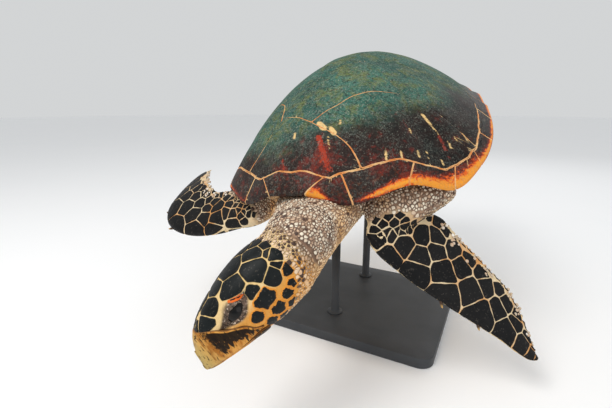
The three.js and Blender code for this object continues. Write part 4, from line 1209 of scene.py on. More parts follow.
@dataclass
class Body:
    """All the flesh as surfaces, and the one skin made of them."""

    shell: ShellForm
    head: HeadForm = field(default_factory=HeadForm)
    neck: Array = measures([
        [14, -205, -32, 84, 40], [20, -262, -31, 78, 42], [30, -312, -28, 64, 42],
        [42, -356, -19, 52, 45], [53, -390, -12, 45, 44], [60, -420, -10, 38, 38],
    ])
    tail: Array = measures([
        [0, 240, -38, 34, 26], [0, 300, -44, 25, 18], [0, 350, -54, 14, 11], [0, 384, -62, 4, 4],
    ])
    front_left: Array = measures([
        [70, -212, -24, 165, -85, -44, 66, 0], [92, -252, -40, 212, -148, -56, 56, 0.1],
        [105, -270, -51, 208, -168, -70, 48, 0.35], [106, -284, -71, 172, -188, -72, 38, 0.6],
        [121, -292, -93, 196, -180, -98, 31, 0.8], [140, -291, -116, 218, -183, -126, 26, 1],
        [166, -288, -146, 240, -184, -156, 23, 1], [196, -282, -178, 264, -185, -188, 20, 1],
        [227, -275, -211, 287, -187, -218, 17, 1], [256, -267, -242, 305, -197, -249, 14.5, 1],
        [282, -263, -267, 317, -212, -275, 12, 1], [302, -263, -287, 325, -226, -292, 10, 1],
        [316, -261, -300, 330, -238, -303, 8, 1], [327, -256, -306, 333, -248, -307, 5, 1],
    ])
    front_right: Array = measures([
        [-62, -215, -29, -165, -95, -36, 66, 0], [-82, -258, -46, -192, -158, -40, 56, 0.1],
        [-112, -276, -57, -196, -190, -30, 48, 0.35], [-146, -281, -64, -205, -210, -25, 40, 0.6],
        [-184, -290, -72, -218, -218, -22, 33, 0.8], [-224, -298, -76, -233, -218, -21, 27, 1],
        [-266, -303, -74, -246, -212, -19, 24, 1], [-306, -299, -66, -259, -202, -16, 21, 1],
        [-335, -283, -56, -271, -190, -13, 18, 1], [-352, -257, -46, -284, -176, -11, 16, 1],
        [-362, -222, -40, -297, -160, -11, 13.5, 1], [-367, -182, -34, -311, -143, -12, 11, 1],
        [-364, -142, -28, -326, -124, -16, 9, 1], [-357, -113, -26, -341, -107, -21, 5, 1],
    ])
    hind: Array = measures([
        [118, 165, -34, 40, 205, -40, 52, 0], [144, 228, -52, 58, 275, -50, 42, 0.2],
        [160, 280, -68, 68, 314, -64, 32, 0.6], [174, 325, -82, 82, 348, -78, 21, 1],
        [184, 362, -93, 96, 384, -90, 16, 1], [186, 398, -101, 112, 418, -99, 12, 1],
        [178, 428, -107, 136, 440, -106, 9, 1], [164, 444, -109, 150, 448, -109, 5, 1],
    ])
    voxel: float = 1.7
    most_faces: int = 172_000

    def __post_init__(self) -> None:
        """Lays out every part of the flesh."""
        self.trunk = Trunk(self.shell)
        hind_right = self.hind * [-1, 1, 1, -1, 1, 1, 1, 1]
        self.flippers = {
            "front_left": Flipper("front_left", self.front_left),
            "front_right": Flipper("front_right", self.front_right),
            "hind_left": Flipper("hind_left", self.hind, steps=80, sides=64),
            "hind_right": Flipper("hind_right", hind_right, steps=80, sides=64),
        }
        limbs = [
            Limb("neck", self.neck, 120, 150, fold=1.3),
            Limb("tail", self.tail, 60, 56, fold=0.7, fold_length=9.0),
        ]
        self.surfaces = [self.head.surface(), self.trunk.surface(), self.nape(limbs[0])]
        self.surfaces += [part.surface() for part in (*limbs, *self.flippers.values())]
        self.chart = Chart(self.surfaces)

    def nape(self, neck: Limb) -> Surface:
        """Rings that carry the back of the skull smoothly into the neck.

        Args:
            neck: the neck it runs into.

        Returns:
            its grid.
        """
        phi = np.arange(150) * 360 / 150
        skull = [self.head.place(self.head.skin(self.head.at(np.full(150, s), phi))) for s in (134.0, 149.0)]
        centre, reach = neck.reach(np.array([3.55, 2.9]), np.radians(180 - phi))
        rings = np.stack([*skull, *(centre[:, None] + reach)])
        rows, angles = np.meshgrid(np.linspace(0, 3, 60), phi, indexing="ij")
        points = along(rings.reshape(4, -1), rows[:, 0]).reshape(60, 150, 3)
        return Surface("nape", points, rows, angles)

    def skin(self, finish: bpy.types.Material) -> bpy.types.Object:
        """The surfaces melted into one skin: joined, remeshed as one volume, smoothed and thinned.

        Args:
            finish: its material.

        Returns:
            the piece.
        """
        raw = Shape.join([s.shape() for s in self.surfaces]).make("flesh")
        melt = raw.modifiers.new("melt", "REMESH")
        melt.mode, melt.voxel_size = "VOXEL", self.voxel * MM
        calm = raw.modifiers.new("calm", "SMOOTH")
        calm.factor, calm.iterations = 0.5, 5
        bpy.context.view_layer.update()
        count = len(raw.evaluated_get(bpy.context.evaluated_depsgraph_get()).data.polygons)
        thin = raw.modifiers.new("thin", "DECIMATE")
        thin.ratio = min(1.0, self.most_faces / (2 * count))
        bpy.context.view_layer.update()
        settled = raw.evaluated_get(bpy.context.evaluated_depsgraph_get())
        mesh = bpy.data.meshes.new_from_object(settled)
        mesh.name = "skin"
        bpy.data.objects.remove(raw)
        mesh.polygons.foreach_set("use_smooth", np.ones(len(mesh.polygons), bool))
        mesh.materials.clear()
        mesh.materials.append(finish)
        points = level_points(mesh)
        near = self.chart.tree.nearest(points)[:, 0]
        uv = self.chart.uv(self.chart.part[near], self.chart.rows[near], self.chart.angles[near])
        carry(mesh, self.masks(points), uv)
        flesh = ["head", "neck", "trunk", "tail", "flipper_hind_left", "flipper_hind_right"]
        flesh += [f"flipper_front_{part}_{side.word}" for part in ("arm", "blade") for side in Side]
        return show(enter("skin", mesh), "skin", *flesh)

    def masks(self, points: Array) -> dict[str, Array]:
        """Colouring masks at body points.

        Args:
            points: body points (n, 3).

        Returns:
            lid (1 on the eyelids), head, cheek (warm side of the face), under (belly side), and
            blade (flippers beyond the elbow), brow (a spot above each eye).
        """
        face = self.head.place.back(points)
        s, x, z = face[:, 1], face[:, 0], face[:, 2]
        headness = (1 - smooth_step(158, 176, s)) * (np.abs(x) < 60) * (np.abs(z) < 62)
        _, t, n = self.head.lids(face)
        lid = (1 - smooth_step(1.5, 2.1, np.hypot(t * 0.95, n * 0.7))) * headness
        cheek = headness * smooth_step(14, -4, z - (s - 80) * 0.10)
        brow = headness * smooth_step(6.5, 3.5, np.hypot(s - self.head.brow[0], (z - self.head.brow[1]) * 1.3))
        near = self.chart.tree.nearest(points)[:, 0]
        under = smooth_step(0.0, -0.55, self.chart.normals[near][:, 2])
        part, row = self.chart.part[near], self.chart.rows[near]
        over = np.where(self.chart.angles[near] < 180, 1.0, -1.0)
        names = np.array(self.chart.names)[part]
        front, hind = np.char.startswith(names, "front"), np.char.startswith(names, "hind")
        share = (1 - np.cos(np.radians(self.chart.angles[near]))) / 2
        past = row - np.where(front, Flipper.beaded(share), 1.4)
        blade = smooth_step(-0.12, 0.2, past) * (front | hind)
        for name, flipper in self.flippers.items():
            under = np.where((names == name) & (blade > 0.05), (over != flipper.upper).astype(float), under)
        return {"lid": lid, "head": headness, "cheek": cheek, "under": under, "blade": blade, "brow": brow}


# ---- the scales --------------------------------------------------------------------------------


@dataclass
class Seeds:
    """The roots of scales: a point, a size and the map place of each; unseen ones only crowd the rest."""

    points: Array
    size: Array
    uv: Array
    seen: Array
    values: dict[str, Array] = field(default_factory=dict)

    @staticmethod
    def join(parts: list["Seeds"]) -> "Seeds":
        """Several lots of roots as one."""
        gathered = [np.concatenate([getattr(p, key) for p in parts])
                    for key in ("points", "size", "uv", "seen")]
        return Seeds(*gathered, {n: np.concatenate([p.values[n] for p in parts]) for n in parts[0].values})

    def keep(self, which: Array) -> "Seeds":
        """Only the roots picked out."""
        kept = (getattr(self, key)[which] for key in ("points", "size", "uv", "seen"))
        return Seeds(*kept, {n: v[which] for n, v in self.values.items()})


@dataclass
class ScaleCoat:
    """Scales that share out the skin between their roots, each one a low closed cushion.

    Round each root the border lies at r(a) = soft minimum over its neighbours j of
    (c^2 + w^2 - w_j^2) / (2 c cos(a - a_j)), c the distance to the neighbour and w the sizes.
    """

    name: str
    finish: bpy.types.Material
    around: int
    # distances in from the border of the outer rings, then shares of the way to the middle
    edge_rings: tuple[float, ...]
    inner_rings: tuple[float, ...]
    gap: float
    rise: float
    shoulder: float
    tilt: float = 0.0
    crispness: float = 14.0
    waver: float = 0.03
    sunk: float = 0.9
    widest: float = 1.7
    crowding: float = 0.5
    # farthest that a root may move to reach the skin
    settle: float = 3.2
    neighbours: int = 15
    patch: float = 1 / 650

    def borders(self, seeds: Seeds, normals: Array) -> tuple[Array, Array, Array]:
        """Border distances (n, around) and each root's two tangent directions.

        Args:
            seeds: the roots.
            normals: outward directions there (n, 3).

        Returns:
            distances (n, around), and directions backward and sideways (n, 3).
        """
        count = min(self.neighbours, len(seeds.points))
        near = Tree(seeds.points).nearest(seeds.points, count)[:, 1:]
        way = seeds.points[near] - seeds.points[:, None]
        apart = np.linalg.norm(way, axis=-1)
        back = unit(np.array([0.02, 1.0, 0.05]) - normals * (normals @ np.array([0.02, 1.0, 0.05]))[:, None])
        side = np.cross(normals, back)
        aim = np.arctan2((way * side[:, None]).sum(-1), (way * back[:, None]).sum(-1))
        alike = (normals[near] * normals[:, None]).sum(-1)
        weight = seeds.size**2
        middle = (apart**2 + weight[:, None] - weight[near]) / (2 * apart)
        middle = middle / np.sqrt(np.clip((1 + alike) / 2, 0.25, 1))
        middle = np.where(alike < -0.3, 1e4, middle)
        angle = np.arange(self.around) * 2 * np.pi / self.around
        facing = np.cos(angle - aim[..., None])
        reach = np.where(facing > 0.08, middle[..., None] / np.maximum(facing, 0.08), 1e4)
        reach = np.maximum(reach, 0.2)
        cap = (seeds.size * self.widest)[:, None]
        reach = ((reach**-self.crispness).sum(1) + cap**-self.crispness) ** (-1 / self.crispness)
        wobble = np.random.default_rng(3).uniform(0, 2 * np.pi, (2, len(seeds.points), 1))
        wave = np.sin(3 * angle + wobble[0]) + 0.6 * np.sin(7 * angle + wobble[1])
        return np.maximum(reach * (1 + self.waver * wave) - self.gap / 2, 0.3), back, side

    def shape(self, seeds: Seeds, normals: Array, ground: bpy.types.Object | None) -> Shape:
        """Every seen scale as one joined mesh.

        Args:
            seeds: roots lying on the skin.
            normals: outward directions there.
            ground: the skin that larger scales are bent to; None for scales too small to bend.
        """
        reach, back, side = self.borders(seeds, normals)
        seen = seeds.seen & (reach.mean(1) > 0.5)
        reach, back, side, normals = reach[seen], back[seen], side[seen], normals[seen]
        kept = seeds.keep(seen)
        n = len(reach)
        mean = reach.mean(1)
        shares = [np.maximum(1 - inset / mean, 0.55) for inset in self.edge_rings]
        shares += [shares[-1] * s for s in self.inner_rings]
        share = np.stack(shares[::-1], 1)
        angle = np.arange(self.around) * 2 * np.pi / self.around
        compass = np.cos(angle)[:, None] * back[:, None] + np.sin(angle)[:, None] * side[:, None]
        spoke = reach[..., None] * compass
        rings = kept.points[:, None, None] + share[:, :, None, None] * spoke[:, None]
        centre = kept.points[:, None]
        rim_normals = np.repeat(normals[:, None], self.around, 1)
        if ground is not None:
            laid = laid_on(ground, np.concatenate([rings.reshape(-1, 3), kept.points]))
            rings, centre = laid[:-n].reshape(rings.shape), laid[-n:, None]
            outer = rings[:, -1] - rings[:, -len(self.edge_rings) - 1]
            run = np.roll(rings[:, -1], -2, 1) - np.roll(rings[:, -1], 2, 1)
            rim_normals = unit(np.cross(outer, run))
            rim_normals *= np.sign((rim_normals * normals[:, None]).sum(-1, keepdims=True))
            rim_normals = unit(rim_normals + 0.6 * normals[:, None])
        lean = share[:, :, None, None]
        up = unit(lean * rim_normals[:, None] + (1 - lean) * normals[:, None, None])
        edge = (1 - share)[:, :, None] * reach[:, None]
        bulk = np.minimum(mean / self.shoulder / 2, 1)[:, None, None]
        rise = self.rise * bulk * (1 - np.maximum(1 - edge / self.shoulder, 0) ** 2.2)
        rise = rise + self.tilt * bulk * share[:, :, None] * np.cos(angle)
        top = rings + up * rise[..., None]
        wall = rings[:, -1:] - rim_normals[:, None] * self.sunk
        points = np.concatenate([top, wall], 1)
        rows = points.shape[1]
        crown = centre + normals[:, None] * (rise[:, 0].mean(-1))[:, None, None]
        floor = centre - normals[:, None] * self.sunk
        flat_spoke = np.stack([reach * np.cos(angle), reach * np.sin(angle)], -1)
        uv = kept.uv[:, None, None] + share[:, :, None, None] * flat_spoke[:, None] * self.patch
        uv = np.concatenate([uv, uv[:, -1:]], 1).reshape(n, -1, 2)
        uv = np.concatenate([uv, kept.uv[:, None], kept.uv[:, None]], 1).reshape(-1, 2)
        each = rows * self.around + 2
        first, last = np.arange(self.around), np.arange(self.around) + (rows - 1) * self.around
        starts = (np.arange(n) * each)[:, None, None]
        quads = (Weave.quads(rows, self.around)[:, ::-1][None] + starts).reshape(-1, 4)
        fans = np.concatenate([Weave.fan(first, each - 2), Weave.fan(last[::-1], each - 1)])
        tris = (fans[None] + starts).reshape(-1, 3)
        body = np.concatenate([points.reshape(n, -1, 3), crown, floor], 1).reshape(-1, 3)
        edge = np.concatenate([edge, np.zeros((n, 1, self.around))], 1).reshape(n, -1)
        values = {"edge": np.concatenate([edge, mean[:, None], np.zeros((n, 1))], 1).ravel()}
        values |= {key: np.repeat(v, each) for key, v in kept.values.items()}
        return Shape(body, quads, tris, values, uv).outward()

    def lay(self, seeds: Seeds, body: Body, skin: bpy.types.Object, bend: bool = True) -> bpy.types.Object:
        """Lays the scales on the skin as a piece.

        Args:
            seeds: roots near the skin; those buried deep in another part are dropped.
            body: gives the directions out of the skin.
            skin: the ground.
            bend: whether each scale is bent to the skin's curve.
        """
        roots = laid_on(skin, seeds.points)
        moved = np.linalg.norm(roots - seeds.points, axis=1)
        seeds = Seeds(roots, seeds.size, seeds.uv, seeds.seen, seeds.values).keep(moved < self.settle)
        near = Tree(seeds.points).nearest(seeds.points, 9)[:, 1:]
        close = np.linalg.norm(seeds.points[near] - seeds.points[:, None], axis=-1)
        room = self.crowding * (seeds.size[:, None] + seeds.size[near])
        crowded = ((near < np.arange(len(near))[:, None]) & (close < room)).any(1)
        seeds = seeds.keep(~crowded)
        chart = body.chart
        normals = unit(chart.normals[chart.tree.nearest(seeds.points, 4)].mean(1))
        shape = self.shape(seeds, normals, skin if bend else None)
        return show(shape.make(self.name, self.finish), "scaled_skin")


@dataclass
class HeadShields:
    """The large shields of the head, named places on its surface, the same on both sides but for a jitter."""

    body: Body
    # distance back from the beak tip, degrees round from the side, size; left half
    shields: tuple[Spot, ...] = (
        (32, 52, 10), (48, 70, 9), (68, 88.5, 8), (82, 53, 13), (113, 47, 15), (125, 71, 12),
        (139, 91, 9), (141, 70, 8), (142, 41, 9), (123, 21, 9), (140, 13, 6), (95, 23, 6), (98, 4, 10),
        (80, -7, 6), (105, -22, 8), (123, -11, 6), (134, -4, 5), (134, 28, 5), (120, -30, 6), (90, -36, 7),
        (104, -46, 7), (60, -33, 4), (136, 55, 5), (24, 80, 5),
    )
    single: tuple[Spot, ...] = ((95, 90, 15),)
    # the small orange scale above each eye
    brow: tuple[Spot, ...] = ((77, 37, 6),)
    # places without a scale, the eye and the beak, that hold the others off: s, degrees, size
    unseen: tuple[Spot, ...] = (
        (47, 14, 5), (57, 17, 8), (68, 20, 9), (79, 22, 7), (45, -4, 7), (54, -14, 6), (63, -26, 5),
        (72, -38, 6), (78, -50, 6), (10, 60, 6), (20, 40, 7), (32, 22, 7), (84, -66, 6), (8, 90, 6),
        (96, -64, 6), (112, -54, 6), (128, -38, 6), (138, -22, 5), (146, -4, 5), (150, 14, 5),
        (152, 32, 5), (152, 50, 5),
        (151, 68, 5), (151, 86, 5),
    )

    def lot(self, table: tuple[Spot, ...], side: Side, seen: bool) -> Seeds:
        """Roots from a table of places.

        Args:
            table: rows of distance back, degrees and size.
            side: the side of the head.
            seen: whether they carry scales.

        Returns:
            the roots.
        """
        rows = np.array(table)
        random = np.random.default_rng(7 if side is Side.LEFT else 11)
        jitter = random.normal(0, 1.0, rows.shape) * ([0, 0, 0] if side is Side.LEFT else [1.3, 1.6, 0.4])
        s, phi, size = (rows + jitter * seen).T
        phi = np.where(side is Side.LEFT, phi, 180 - phi)
        head = self.body.head
        points = head.place(head.skin(head.at(s, phi)))
        uv = self.body.chart.uv(np.zeros(len(s), int), s, phi)
        z = head.at(s, phi)[:, 2]
        cheek = smooth_step(15, -2, z - (s - 80) * 0.10)
        values = {"tone": random.uniform(0, 1, len(s)), "cheek": cheek, "amber": np.zeros(len(s))}
        return Seeds(points, size, uv, np.full(len(s), seen), values)

    def seeds(self) -> Seeds:
        """All the roots on the head."""
        lots = [self.lot(self.shields, side, True) for side in Side]
        lots += [self.lot(self.unseen, side, False) for side in Side]
        lots += [self.lot(self.brow, side, True) for side in Side]
        for brow in lots[-2:]:
            brow.values["amber"] += 1
        return Seeds.join([*lots, self.lot(self.single, Side.LEFT, True)])


@dataclass
class FlipperScales:
    """Scales of the flippers: plates along the leading edge, large ones over the blade, small behind."""

    body: Body
    # station and share of the chord of the scales on the left front flipper's upper face, with sizes
    upper: tuple[Spot, ...] = (
        (1.9, 0.06, 4), (1.92, 0.18, 4), (1.98, 0.3, 4), (2.12, 0.11, 4.5), (2.12, 0.24, 4.5), (2.16, 0.36, 4),
        (2.3, 0.5, 4), (2.36, 0.62, 4), (2.55, 0.7, 4), (2.62, 0.5, 5), (2.95, 0.76, 6), (2.7, 0.8, 4.5),
        (2.35, 0.05, 5), (2.35, 0.17, 5), (2.38, 0.3, 5), (2.44, 0.43, 4.5), (2.52, 0.55, 4), (2.62, 0.1, 6),
        (2.62, 0.24, 6), (2.68, 0.38, 6), (2.78, 0.62, 5), (3.2, 0.05, 9), (4.4, 0.05, 12), (5.6, 0.11, 16),
        (7.0, 0.08, 17), (8.4, 0.2, 20), (9.6, 0.3, 17), (10.7, 0.42, 14), (11.7, 0.45, 11), (12.5, 0.5, 8),
        (2.98, 0.2, 8), (4.15, 0.28, 13), (5.05, 0.31, 12), (6.1, 0.38, 13), (7.4, 0.44, 15), (8.6, 0.5, 13),
        (2.98, 0.48, 8), (4.1, 0.56, 12), (3.45, 0.36, 8), (5.2, 0.56, 9), (6.3, 0.66, 10), (7.5, 0.68, 11),
        (9.6, 0.62, 11), (3.3, 0.73, 9), (4.6, 0.72, 10), (5.45, 0.78, 9), (6.15, 0.86, 7), (6.95, 0.82, 8),
        (7.9, 0.85, 7), (8.6, 0.76, 9), (9.3, 0.85, 6.5), (10.6, 0.76, 8), (11.5, 0.75, 6), (3.4, 0.92, 6),
        (4.0, 0.91, 7), (4.5, 0.9, 6),
        (4.95, 0.93, 6), (5.45, 0.95, 5.5), (5.9, 0.96, 4.5), (6.4, 0.97, 4.5), (6.95, 0.96, 5), (7.5, 0.96, 5),
        (8.1, 0.95, 4.5), (8.7, 0.93, 5), (9.3, 0.96, 4.5), (9.9, 0.92, 5.5), (10.6, 0.93, 4.5),
        (11.3, 0.92, 4.5),
        (12.0, 0.85, 5),
    )
    # white beads in clusters along the trailing edge: how many are tried, and their size
    pearls: tuple[int, float] = (330, 2.5)

    def lot(self, part: str, rows: Array, over: float, jitter: float, seed: int) -> Seeds:
        """Roots from rows of station, share and size on one face of a flipper.

        Args:
            part: the flipper's name.
            rows: the table.
            over: the face.
            jitter: how much the places vary.
            seed: picks the jitter.

        Returns:
            the roots.
        """
        random = np.random.default_rng(seed)
        flipper = self.body.flippers[part]
        shake = random.normal(0, jitter, rows.shape) * [0.12, 0.02, 0.5]
        k, share, size = (rows + shake).T
        share = np.clip(share, 0.02, 0.985)
        points = flipper.at(k, share, over, 1.0)
        chart = self.body.chart
        uv = chart.uv(np.full(len(k), chart.names.index(part)), k, np.degrees(np.arccos(1 - 2 * share)) * over)
        values = {
            "tone": random.uniform(0, 1, len(k)),
            "under": np.full(len(k), 0.0 if over == flipper.upper else 1.0),
            "warm": 0.1 * np.ones(len(k)),
            "head": np.zeros(len(k)),
        }
        return Seeds(points, size, uv, np.full(len(k), True), values)

    def seeds(self, part: str) -> Seeds:
        """Roots over both faces of one flipper; the hind ones have fewer stations, and smaller scales.

        Args:
            part: the flipper's name.

        Returns:
            the roots.
        """
        rows = np.array(self.upper)
        jitter = {"front_left": 0.1, "front_right": 0.6}.get(part, 0.4)
        if part.startswith("hind"):
            rows[:, 0] = (rows[:, 0] - 1.95) * (6.9 - 1.5) / 10.6 + 1.5
            rows[:, 2] *= 0.62
        number = sum(map(ord, part))
        faces = [self.lot(part, rows, over, jitter, number + int(over)) for over in (1.0, -1.0)]
        return Seeds.join([*faces, *self.collar(part)])

    def strewn(self, part: str) -> Seeds:
        """White beads strewn in clusters along the trailing edge of a front flipper.

        Args:
            part: the flipper's name.

        Returns:
            the roots.
        """
        tries, size = self.pearls
        faces = []
        for over in (1.0, -1.0):
            random = np.random.default_rng(40 + int(over))
            k = random.uniform(3.3, 11.5, tries)
            share = 1 - np.abs(random.normal(0, 0.075, tries)) - 0.015
            wave = np.sin(k * 6.3 + 1.1 * np.sin(k * 2.9)) + random.uniform(-0.4, 0.4, tries)
            rows = np.stack([k, share, size * random.uniform(0.7, 1.25, tries)], -1)[wave > 0.45]
            faces.append(self.lot(part, rows, over, 0.0, 5))
        return Seeds.join(faces)

    def collar(self, part: str) -> list[Seeds]:
        """Unseen roots at the shoulder that stop the first row of scales from spreading.

        Args:
            part: the flipper's name.

        Returns:
            the roots of each face.
        """
        share = np.linspace(0.03, 0.97, 13)
        k = Flipper.beaded(share) - 0.12 if part.startswith("front") else np.full(13, 1.1)
        rows = np.stack([k, share, np.full(13, 4.0)], -1)
        lots = [self.lot(part, rows, over, 0.0, 5) for over in (1.0, -1.0)]
        for lot in lots:
            lot.seen[:] = False
        return lots


@dataclass
class Granules:
    """Small bead-like scales of the neck, shoulders, tail and soft folds, in staggered rows."""

    body: Body
    jitter: float = 0.2
    # where the beads of the head begin: degrees above the side, distance back from the beak tip
    hairline: tuple[tuple[float, ...], ...] = (
        (-90, -60, -40, -20, 10, 40, 90), (90, 98, 122, 137, 147, 150, 150),
    )

    def rows_on(self, name: str, low: float, high: float, size: float, seed: int,
                within: Callable[[Array, Array], Array] | None = None) -> Seeds:
        """Staggered rows round a surface between two of its rows.

        Args:
            name: the surface.
            low: first row position.
            high: last row position.
            size: spacing of the beads in millimetres.
            seed: picks the jitter.
            within: whether roots at rows and angles (degrees) are kept; None keeps all.
        """
        index = self.body.chart.names.index(name)
        surface = self.body.surfaces[index]
        random = np.random.default_rng(seed)
        grid, stations, cols = surface.points, surface.rows[:, 0], surface.points.shape[1]
        run = np.maximum(run_along(grid[:, 0]), run_along(grid.mean(1)))
        lengths = np.linalg.norm(np.roll(grid, -1, 1) - grid, axis=-1)
        place, end = np.interp([low, high], stations, run)
        rows = []
        while place < end:
            line = lengths[np.argmin(np.abs(stations - np.interp(place, run, stations)))]
            count = max(int(line.sum() / size), 4)
            arc = (np.arange(count) + 0.5 * (len(rows) % 2)) * line.sum() / count
            share = np.interp(arc, np.concatenate([[0], np.cumsum(line)]), np.arange(cols + 1))
            rows.append(np.stack([np.full(count, place), share], -1))
            place += size * 0.88
        place, c = np.concatenate(rows).T
        place = place + random.normal(0, self.jitter, len(place)) * size
        row = np.clip(np.interp(place, run, stations), stations[0], stations[-1])
        round_ = np.maximum(np.interp(row, stations, lengths.sum(1)), 1)
        c = c + random.normal(0, self.jitter, len(c)) * size * cols / round_
        r = np.interp(row, stations, np.arange(len(stations)))
        r0, c0 = np.clip(r.astype(int), 0, len(stations) - 2), np.floor(c).astype(int)
        fr, fc = (r - r0)[:, None], (c - c0)[:, None]
        here, following = (grid[n, c0 % cols] * (1 - fc) + grid[n, (c0 + 1) % cols] * fc for n in (r0, r0 + 1))
        points = here * (1 - fr) + following * fr
        angle = surface.angles[0][c0 % cols]
        uv = self.body.chart.uv(np.full(len(row), index), row, angle)
        sizes = size * random.uniform(0.34, 0.7, len(row))
        values = {"tone": random.uniform(0, 1, len(row))}
        lot = Seeds(points, sizes, uv, np.full(len(row), True), values)
        return lot.keep(within(row, angle)) if within else lot

    def marked(self, seeds: Seeds) -> Seeds:
        """The roots with the colouring of the skin about them."""
        masks = self.body.masks(seeds.points)
        seeds.values |= {key: masks[key] for key in ("cheek", "under", "head")}
        seeds.values["warm"] = self.warm(seeds.points)
        return seeds

    def warm(self, points: Array) -> Array:
        """How orange the soft skin is: strongest low on the neck and behind the cheek."""
        x, z = np.abs(points[:, 0]), points[:, 2]
        return np.clip(smooth_step(14, -24, z) * smooth_step(105, 72, x) + 0.3 * ripple(points, 60, 23), 0, 1)

    def seeds(self) -> dict[str, Seeds]:
        """Roots for each stretch of soft skin."""
        def short(row: Array, angle: Array) -> Array:
            """Roots of a front flipper that lie this side of its scales."""
            return row < Flipper.beaded((1 - np.cos(np.radians(angle))) / 2)

        def trunk(size: float, seed: int, within: Callable[[Array], Array]) -> Seeds:
            """Roots on the trunk at the angles picked out."""
            return self.rows_on("trunk", 4.9, 8.6, size, seed, lambda row, angle: within(np.abs(angle)))

        nape = self.rows_on("nape", 0.9, 3.0, 4.3, 12)
        nape = nape.keep(self.body.head.place.back(nape.points)[:, 1] > 146.5)
        skull = self.rows_on("head", 88, 152, 4.1, 13)
        face = self.body.head.place.back(skull.points)
        above = np.degrees(np.arctan2(face[:, 2] + 2, np.abs(face[:, 0])))
        behind = [trunk(5.6, 6, lambda angle: angle > 104), self.rows_on("tail", 0.4, 3, 4.8, 7)]
        behind += [self.rows_on(f"hind_{side.word}", 0.0, 1.3, 5.4, 8) for side in Side]
        arms = {f"shoulder_{side.word}": self.rows_on(f"front_{side.word}", 0.0, 2.9, 4.1, 3, short)
                for side in Side}
        lots = {
            "neck": Seeds.join([self.rows_on("neck", 0.3, 5.0, 4.3, 2), nape]),
            "nape": skull.keep(face[:, 1] > np.interp(above, *self.hairline)),
            **arms,
            "breast": trunk(5.0, 5, lambda angle: angle < 66),
            "flanks": trunk(5.6, 9, lambda angle: np.abs(85 - angle) <= 19),
            "haunch": Seeds.join(behind),
        }
        return {part: self.marked(lot) for part, lot in lots.items()}


# ---- beak, eyes, claws, belly and stand --------------------------------------------------------


def slab(top: Array, bottom: Array, values: dict[str, Array]) -> Shape:
    """A closed slab between two grids of points.

    Args:
        top: grid (rows, columns, 3).
        bottom: grid of the same shape.
        values: named values (rows, columns) given to both faces.
    """
    rows, cols = top.shape[:2]
    low = rows * cols
    grid = np.arange(low).reshape(rows, cols)
    border = np.concatenate([grid[0, :-1], grid[:-1, -1], grid[-1, :0:-1], grid[:0:-1, 0]])
    after = np.roll(border, -1)
    faces = [Weave.quads(rows, cols, wrap=False), Weave.quads(rows, cols, wrap=False, start=low)[:, ::-1]]
    faces.append(np.stack([after, border, border + low, after + low], -1))
    points = np.concatenate([top.reshape(-1, 3), bottom.reshape(-1, 3)])
    both = {n: np.concatenate([v.ravel(), v.ravel()]) for n, v in values.items()}
    return Shape(points, np.concatenate(faces), np.zeros((0, 3), int), both).outward()


